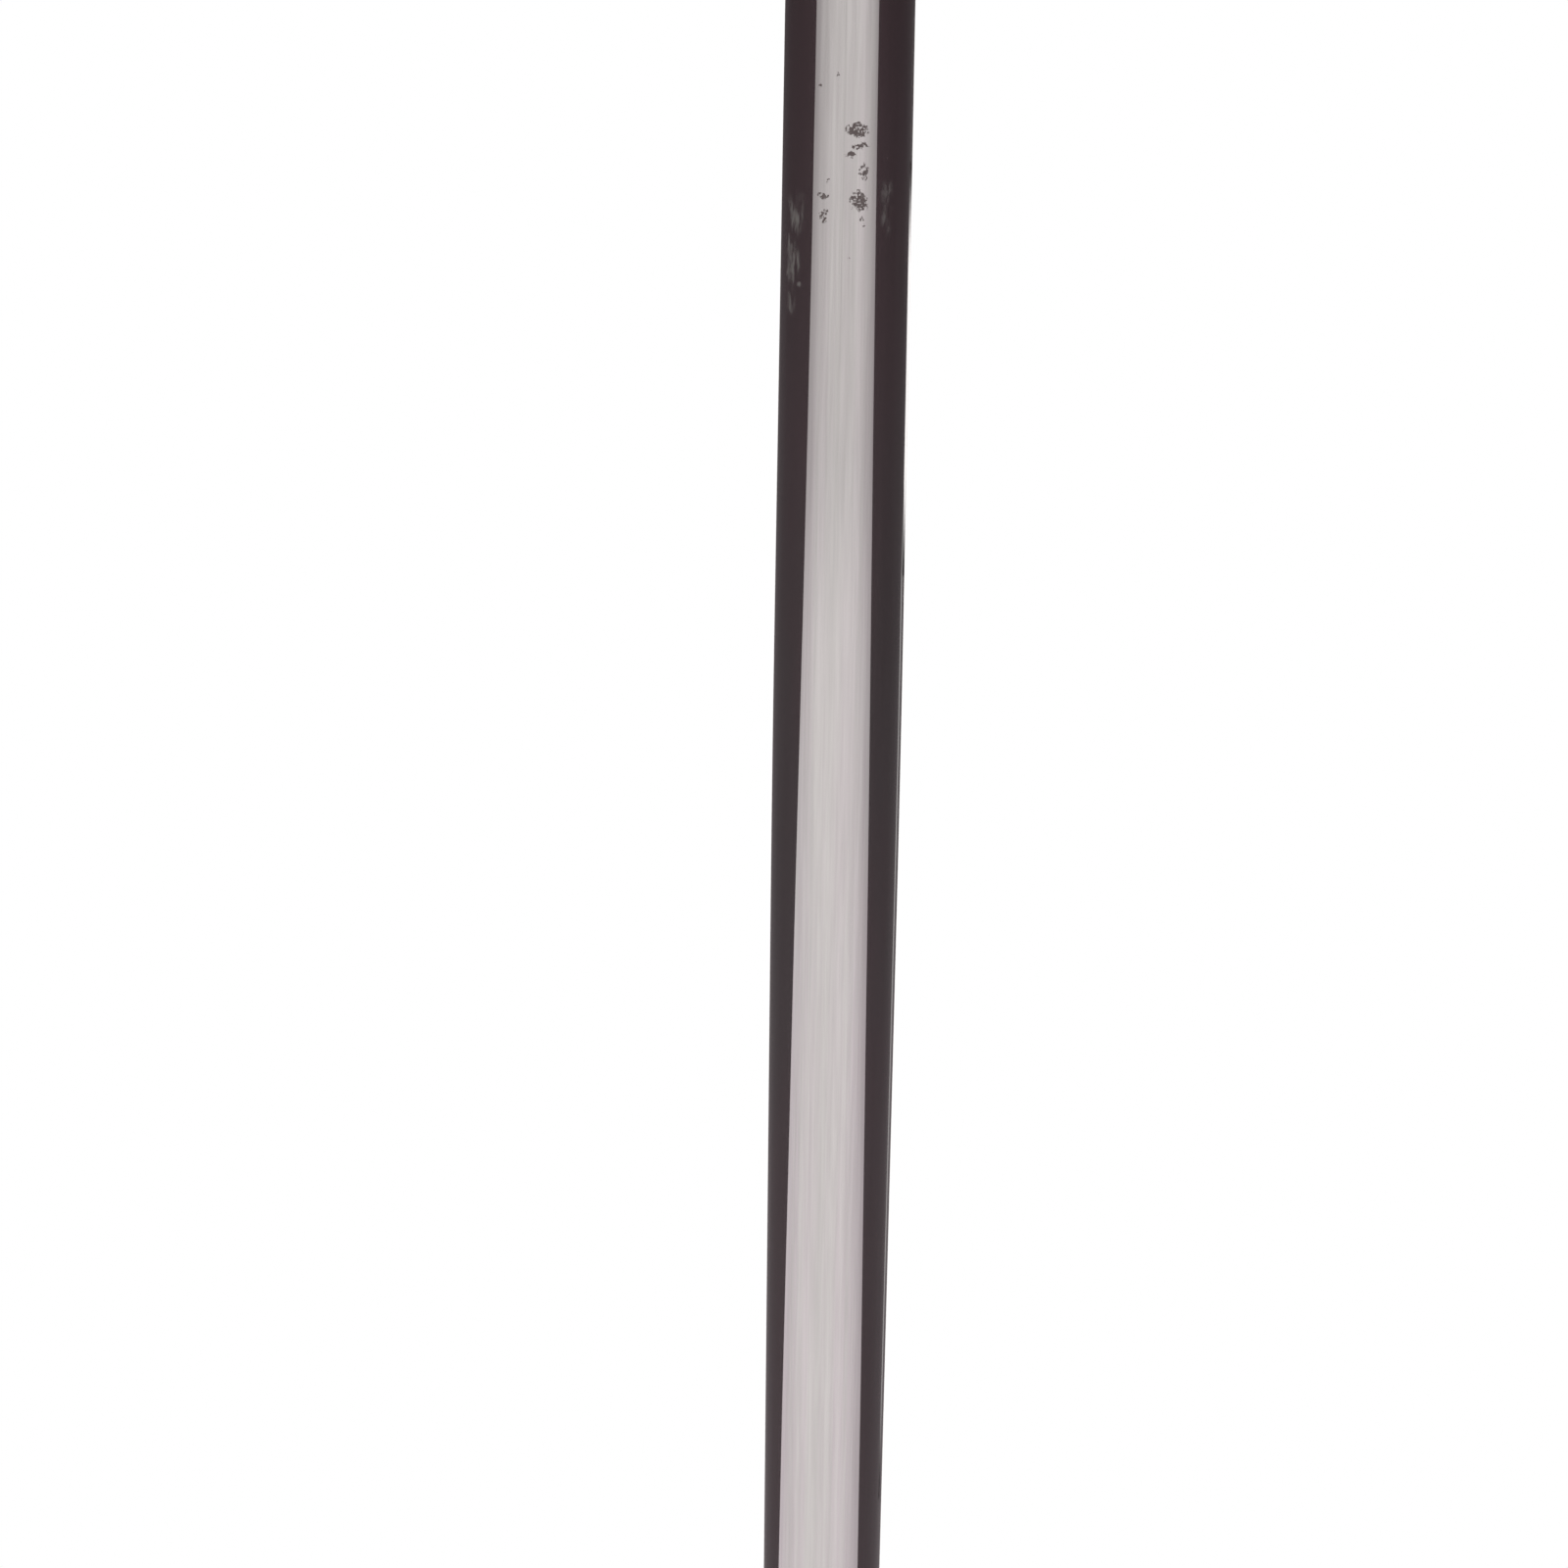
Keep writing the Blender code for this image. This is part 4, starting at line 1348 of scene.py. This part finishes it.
def button_profile():
    rim_top = button_bottom + BUTTON_THICKNESS
    points = [(0.0, button_top), (SHANK_RADIUS, button_top - 2 * SHANK_RADIUS)]
    for barb in BARBS:
        height = button_bottom + barb
        points += [(SHANK_RADIUS, height + BARB_LENGTH), (SHANK_RADIUS - BARB_DEPTH, height)]
    points += [(SHANK_RADIUS, rim_top), (button_radius, rim_top)]
    centre = (button_radius - BUTTON_EDGE, button_bottom + BUTTON_EDGE)
    points += arc(centre, BUTTON_EDGE, 0, -90, 6)
    dish = button_bottom + DISH_DEPTH
    points += [(DISH_RADIUS, button_bottom), (DISH_RADIUS - DISH_DEPTH, dish)]
    points += [(CENTRE_MARK, dish), (0.0, button_bottom + CENTRE_MARK)]
    return points


button = turn("end_button_turned", button_profile(), plain_lathe, zinc, {"Sides": 96})
join_frame(button, "shaft", ["ferrule_end_button"])

# %% [markdown]
# ## The rubber tip
#
# The tip is moulded in one piece: a ribbed neck that grips the ferrule, a flared base and a
# tread of rings. The mould leaves its own marks. Upright flutes round the base let it flex as
# the cane leans, and a fine raised line shows where the two halves of the mould met. The rule
# cuts the flutes where the radius is greatest, and lowers the whole surface a hair except
# along the mould's line.

# %% Write the flute rule
FLUTE_RISE = 0.0006  # how far above the rim a flute starts


def flute_rule(tree, given, radius, height, angle):
    wave = calc(tree, "COSINE", times(tree, angle, given["Flutes"]))
    cut = ramp(tree, wave, -0.35, -1.0)
    reach = ramp(tree, radius, given["Plain Radius"], given["Fluted Radius"])
    low = ramp(tree, height, given["Rim"], plus(tree, given["Rim"], FLUTE_RISE))
    flute = times(tree, cut, reach, low, given["Flute Depth"])
    off_seam = ramp(tree, calc(tree, "ABSOLUTE", calc(tree, "SINE", angle)), 0.012, 0.030)
    outer = ramp(tree, radius, given["Seam Radius"], plus(tree, given["Seam Radius"], 0.0002))
    lowered = times(tree, off_seam, outer, given["Seam Height"])
    return minus(tree, minus(tree, radius, flute), lowered)


fluted_lathe = lathe(
    "Fluted tip",
    (
        ("Flutes", "Float", 28.0),
        ("Flute Depth", "Float", 0.0006),
        ("Plain Radius", "Float", 0.0140),
        ("Fluted Radius", "Float", 0.0165),
        ("Rim", "Float", 0.0014),
        ("Seam Radius", "Float", 0.0098),
        ("Seam Height", "Float", 0.0001),
    ),
    flute_rule,
)

# %% [markdown]
# The tip's profile is drawn in four stretches: the socket and its lip, the ribs of the neck, the
# flare down to the base, and the tread.

# %% Draw the tip's profile
TIP_FLOOR = 0.0100
TIP_BASE_HEIGHT = 0.0065
TIP_FLARE = 0.0110
TIP_WALL = 0.0029
SOCKET_EDGE = 0.0004
RIB_COUNT = 4
RIB_DEPTH = 0.0010
RIB_ROUND = 0.0005
# Where a rib's flat starts and ends, and its two rounds and its foot are, as shares of its height.
RIB_FLAT, RIB_SHOULDER, RIB_VALLEY, RIB_FOOT = (0.1, 0.55), 0.62, 0.80, 0.97
FLARE_STEPS = 16
BASE_ROUND = 0.0012
TREAD_GROOVE = 0.0014
TREAD_DEPTH = 0.0016
TREAD_RINGS = 3
TREAD_ROUND = 0.0003
LAND_EDGE = 0.0002

_, tip_top, base_radius = measure("rubber_tip")
tip_bore = ferrule_radius + GAP
tip_neck = tip_bore + TIP_WALL
lip_bottom = tip_top - TIP_WALL / 2
flare_top = TIP_BASE_HEIGHT + TIP_FLARE
outer_land = base_radius - TREAD_GROOVE


def socket_and_lip():
    lip = TIP_WALL / 2
    points = [(0.0, TIP_FLOOR), (tip_bore - SOCKET_EDGE, TIP_FLOOR)]
    points += [(tip_bore, TIP_FLOOR + SOCKET_EDGE)]
    points += side(tip_bore, TIP_FLOOR + 0.002, lip_bottom, 0.004)
    return points + arc((tip_bore + lip, lip_bottom), lip, 180, 0, 14)


def neck_ribs():
    points = []
    rib = (lip_bottom - flare_top) / RIB_COUNT
    for index in range(RIB_COUNT):
        start = lip_bottom - rib * index
        flat_top, flat_bottom = (start - share * rib for share in RIB_FLAT)
        points += side(tip_neck, flat_top, flat_bottom, 0.0015)
        shoulder_centre = (tip_neck - RIB_ROUND, start - RIB_SHOULDER * rib)
        points += arc(shoulder_centre, RIB_ROUND, 60, -30, 5)
        valley = (tip_neck - RIB_DEPTH + RIB_ROUND, start - RIB_VALLEY * rib)
        points += arc(valley, RIB_ROUND, 150, 250, 6)
        points += [(tip_neck - RIB_ROUND * 0.4, start - RIB_FOOT * rib)]
    return points


def flare_and_base():
    points = []
    for step in range(1, FLARE_STEPS + 1):
        share = step / FLARE_STEPS
        spread = math.sin(math.radians(90 * share)) ** 2
        points.append((tip_neck + (outer_land - tip_neck) * spread, flare_top - TIP_FLARE * share))
    shoulder_centre = (base_radius - BASE_ROUND, TIP_BASE_HEIGHT - BASE_ROUND)
    points += arc(shoulder_centre, BASE_ROUND, 80, 0, 6)
    points += side(base_radius, TIP_BASE_HEIGHT - 0.0016, TREAD_GROOVE + 0.0004, 0.0006)
    return points + arc((outer_land, TREAD_GROOVE), TREAD_GROOVE, 0, -90, 8)


def tread():
    points = []
    pitch = outer_land / (TREAD_RINGS + 1)
    inset = TREAD_GROOVE / 6 + TREAD_ROUND
    roof = TREAD_DEPTH - TREAD_ROUND
    for index in range(TREAD_RINGS):
        outer = outer_land - pitch * (index + 1) + TREAD_GROOVE
        inner = outer - TREAD_GROOVE
        points += [(outer + LAND_EDGE, 0.0), (outer, LAND_EDGE / 2)]
        points += arc((outer - inset, roof), TREAD_ROUND, 0, 90, 3)
        points += arc((inner + inset, roof), TREAD_ROUND, 90, 180, 3)
        points += [(inner, LAND_EDGE / 2), (inner - LAND_EDGE, 0.0)]
    return [*points, (0.0, 0.0)]


# %% Turn the rubber tip
tip = turn(
    "tip_moulded",
    [*socket_and_lip(), *neck_ribs(), *flare_and_base(), *tread()],
    fluted_lathe,
    rubber,
    {
        "Sides": 448,
        "Flutes": 28.0,
        "Flute Depth": 0.0008,
        "Plain Radius": base_radius - 0.0030,
        "Fluted Radius": base_radius - 0.0006,
        "Rim": TREAD_GROOVE,
        "Seam Radius": tip_bore + 0.0011,
        "Seam Height": 0.00006,
    },
)
join_frame(tip, "tip", ["rubber_tip"])

# %% [markdown]
# ## The light
#
# Polished black shows almost nothing of its own colour. What is seen in it is the room, so it is
# lit by giving it things to mirror. A round shaft mirrors at an angle from its front only what
# stands at twice that angle round it, which says where a light must be to make a band of a
# given width. The soft light here is a curved sheet: it is narrower at the top than at the
# bottom, and its brightness fades towards its two sides, as a real soft box's does. It is seen
# in reflections only. Matt surfaces are lit by area lights that reflections don't show.

# %% Hang the curved soft light
LIGHT_RADIUS = 1.5
SEEN_TOP = 0.735  # the heights that the top and bottom of the close view mirror
SEEN_BOTTOM = 0.180
LIGHT_TOP = 1.60
LIGHT_BOTTOM = -0.80  # below the floor, which reflections pass through
# The band's edges, in degrees round the shaft from its front: at the top, and how much further
# they are at the bottom.
LEFT_EDGE, LEFT_SPREAD, LEFT_CURVE = 30.7, 17.0, 1.85
RIGHT_EDGE, RIGHT_SPREAD, RIGHT_CURVE = 25.8, 12.0, 1.4


def left_edge(share):
    return -2 * (LEFT_EDGE + LEFT_SPREAD * share**LEFT_CURVE)


def right_edge(share):
    return 2 * (RIGHT_EDGE + RIGHT_SPREAD * share**RIGHT_CURVE)


def curved_sheet(name, top, bottom, left, right, material, rows=40, columns=48):
    """A sheet round the cane. left and right give its edges in degrees for a height's share."""
    sheet = bmesh.new()
    uv = sheet.loops.layers.uv.new("place")
    grid = []
    for row in range(rows + 1):
        height = top + (bottom - top) * row / rows
        share = min(1.0, max(0.0, (SEEN_TOP - height) / (SEEN_TOP - SEEN_BOTTOM)))
        line = []
        for column in range(columns + 1):
            across = column / columns
            angle = math.radians(left(share) + (right(share) - left(share)) * across)
            place = (LIGHT_RADIUS * math.sin(angle), -LIGHT_RADIUS * math.cos(angle), height)
            line.append((sheet.verts.new(place), (across, height)))
        grid.append(line)
    for upper, lower in zip(grid, grid[1:]):
        for corners in zip(upper, upper[1:], lower[1:], lower):
            face = sheet.faces.new([vert for vert, _ in corners])
            for loop, (_, place) in zip(face.loops, corners):
                loop[uv].uv = place
    mesh = bpy.data.meshes.new(name)
    sheet.to_mesh(mesh)
    sheet.free()
    mesh.materials.append(material)
    obj = new_object(name, mesh)
    obj.visible_camera = False
    obj.visible_diffuse = False
    obj.visible_shadow = False


# %% Colour the soft light
BAND_TOP = 4.53
BAND_BOTTOM = 5.27
LIGHT_WHITE = (0.995, 0.960, 0.935)
LIGHT_PINK = (1.0, 0.900, 0.935)


def glow(name, colour):
    """An emission material, and its tree, shader and the sheet's own (across, height)."""
    material = bpy.data.materials.new(name)
    material.use_nodes = True
    tree = material.node_tree
    tree.nodes.clear()
    emission = add(tree, "ShaderNodeEmission", {"Color": (*colour, 1.0)})
    add(tree, "ShaderNodeOutputMaterial", {0: emission.outputs[0]})
    place = axes(tree, add(tree, "ShaderNodeUVMap", uv_map="place").outputs[0])
    return material, tree, emission, place["X"], place["Y"]


def linear_ramp(tree, value, start, end, low, high):
    node = add(tree, "ShaderNodeMapRange", {0: value, 1: start, 2: end, 3: low, 4: high})
    return node.outputs[0]


def soft_light_colour(tree, across, height):
    """White in the middle, and pinker towards the sides and lower down."""
    inputs = {"Vector": piece_point(tree), "Scale": 5.0}
    cloth = add(tree, "ShaderNodeTexNoise", inputs).outputs[0]
    off_centre = calc(tree, "ABSOLUTE", minus(tree, across, 0.45))
    patchy = linear_ramp(tree, cloth, 0.35, 0.65, -0.4, 0.4)
    low_down = linear_ramp(tree, height, SEEN_BOTTOM, SEEN_TOP, 1.0, 0.25)
    pink = times(tree, plus(tree, times(tree, off_centre, 2.0), patchy), low_down)
    return tint(tree, pink, LIGHT_WHITE, LIGHT_PINK)


def side_loss(tree, across, height):
    """How much of the light is lost towards its two sides."""
    at_left = ramp(tree, height, 0.38, SEEN_TOP, 0.19, 0.50)
    at_right = linear_ramp(tree, height, SEEN_BOTTOM, SEEN_TOP, 0.38, 0.48)
    from_left = calc(tree, "POWER", linear_ramp(tree, across, 0.0, 0.35, 1.0, 0.0), 1.5)
    from_right = calc(tree, "POWER", linear_ramp(tree, across, 0.70, 1.0, 0.0, 1.0), 1.6)
    return plus(tree, times(tree, from_left, at_left), times(tree, from_right, at_right))


def soft_light_glow():
    material, tree, emission, across, height = glow("soft_light", (1.0, 1.0, 1.0))
    tree.links.new(soft_light_colour(tree, across, height), emission.inputs["Color"])
    level = ramp(tree, height, 0.500, 0.575, BAND_BOTTOM, BAND_TOP)
    upper_end = ramp(tree, height, SEEN_TOP + 0.02, SEEN_TOP + 0.14, 1.0, 0.30)
    lower_end = ramp(tree, height, -0.30, SEEN_BOTTOM - 0.02, 0.45, 1.0)
    kept = minus(tree, 1.0, side_loss(tree, across, height))
    strength = times(tree, level, upper_end, lower_end, kept)
    tree.links.new(strength, emission.inputs["Strength"])
    return material


curved_sheet("soft_light", LIGHT_TOP, LIGHT_BOTTOM, left_edge, right_edge, soft_light_glow())
print(f"the soft light is {right_edge(0) - left_edge(0):.0f} degrees wide at the top of the view")

# %% [markdown]
# A dark, round thing looks flat without a rim light to draw its edge. Two narrow strips stand
# behind it to the right, one above the other, and a panel straight behind gives the back of the
# cane something to mirror as well.

# %% Stand the rim lights
STRIP_FADE = 0.04


def strip_glow(name, strength, top, bottom):
    material, tree, emission, _, height = glow(name, (1.0, 0.97, 0.96))
    upper = ramp(tree, height, top - STRIP_FADE, top, 1.0, 0.0)
    lower = ramp(tree, height, bottom, bottom + STRIP_FADE, 0.0, 1.0)
    tree.links.new(times(tree, upper, lower, strength), emission.inputs["Strength"])
    return material


def strip(name, start, end, top, bottom, strength):
    """A plain sheet from start to end, in degrees round the cane from its front."""
    material = strip_glow(name, strength, top, bottom)
    curved_sheet(
        name, top, bottom, lambda share: start, lambda share: end, material, rows=8, columns=6
    )


strip("rim_light_upper", 147, 165, 0.675, 0.530, 2.8)
strip("rim_light_lower", 141.5, 147.5, 0.560, 0.200, 1.1)
strip("rear_panel", 168, 192, 1.30, LIGHT_BOTTOM, 1.6)

# %% [markdown]
# The matt pieces need light from lamps. These are large, so shadows are soft, and none of them
# shows in a reflection.

# %% Place the lamps
LAMP_AIM = Vector((0, 0, 0.5))


def lamp(name, place, size, watts, colour=(1.0, 1.0, 1.0)):
    light = bpy.data.lights.new(name, "AREA")
    light.size = size
    light.energy = watts
    light.color = colour
    obj = new_object(name, light)
    turned = (LAMP_AIM - Vector(place)).to_track_quat("-Z", "Y").to_matrix().to_4x4()
    obj.matrix_world = Matrix.Translation(place) @ turned
    obj.visible_glossy = False
    obj.visible_camera = False


lamp("key_lamp", (-1.5, -1.9, 1.9), 1.4, 52, (1.0, 0.985, 0.96))
lamp("fill_lamp", (2.0, -1.2, 1.1), 1.6, 26, (0.97, 0.985, 1.0))
lamp("back_lamp", (0.6, 2.2, 1.9), 1.6, 34)
print(len(bpy.data.lights), "lamps")

# %% [markdown]
# The floor is a plain pale disc. Farther out it gives off light of its own and less of the
# lamps' light, so that it runs into the white ground behind it with no horizon. Reflections
# leave it out, because its edge would show in the lacquer as a hard step.

# %% Lay the floor
FLOOR_RADIUS = 2.6
FLOOR_PALE = (0.80, 0.80, 0.80)
FLOOR_FAR = (0.05, 0.05, 0.05)
FLOOR_GAP = 0.0002  # keeps the floor clear of the tread


def make_floor():
    """Matt and pale, and brighter outwards, until it is as white as the ground behind it."""
    material, tree, shader = new_finish("floor", FLOOR_PALE, 0.9, specular_ior_level=0.1)
    distance = vector_calc(tree, "LENGTH", piece_point(tree))["Value"]
    glowing = ramp(tree, distance, 0.1, 2.2, 0.22, 1.0)
    tree.links.new(glowing, shader.inputs["Emission Strength"])
    shader.inputs["Emission Color"].default_value = (1.0, 1.0, 1.0, 1.0)
    paint(tree, shader, tint(tree, ramp(tree, distance, 0.8, 2.4), FLOOR_PALE, FLOOR_FAR))
    return material


disc = bmesh.new()
bmesh.ops.create_circle(disc, cap_ends=True, segments=96, radius=FLOOR_RADIUS)
floor_mesh = bpy.data.meshes.new("floor")
disc.to_mesh(floor_mesh)
disc.free()
floor_mesh.materials.append(make_floor())
floor = new_object("floor", floor_mesh)
floor.location.z = -FLOOR_GAP
floor.visible_glossy = False

# %% [markdown]
# The world has two jobs. The camera sees a plain white ground. Reflections see a dim studio
# that is a little brighter low down, where a pale floor would be, and brighter again straight
# down.

# %% Fill in the world
world = bpy.data.worlds.new("studio")
bpy.context.scene.world = world
world.use_nodes = True
sky = world.node_tree
sky.nodes.clear()
direction = add(sky, "ShaderNodeTexCoord").outputs["Generated"]
up = axes(sky, direction)["Z"]
level = linear_ramp(sky, up, -0.12, 0.12, 0.35, 0.095)
from_floor = linear_ramp(sky, up, -0.60, -0.12, 0.30, 0.0)
inputs = {"Color": (1.0, 0.895, 0.93, 1.0), "Strength": plus(sky, level, from_floor)}
room = add(sky, "ShaderNodeBackground", inputs).outputs[0]
white = {"Color": (1.0, 1.0, 1.0, 1.0), "Strength": 1.0}
ground = add(sky, "ShaderNodeBackground", white).outputs[0]
seen = add(sky, "ShaderNodeLightPath").outputs["Is Camera Ray"]
both = add(sky, "ShaderNodeMixShader", {0: seen, 1: room, 2: ground}).outputs[0]
add(sky, "ShaderNodeOutputWorld", {0: both})

view = bpy.context.scene.view_settings
view.view_transform = "Standard"
view.look = "None"
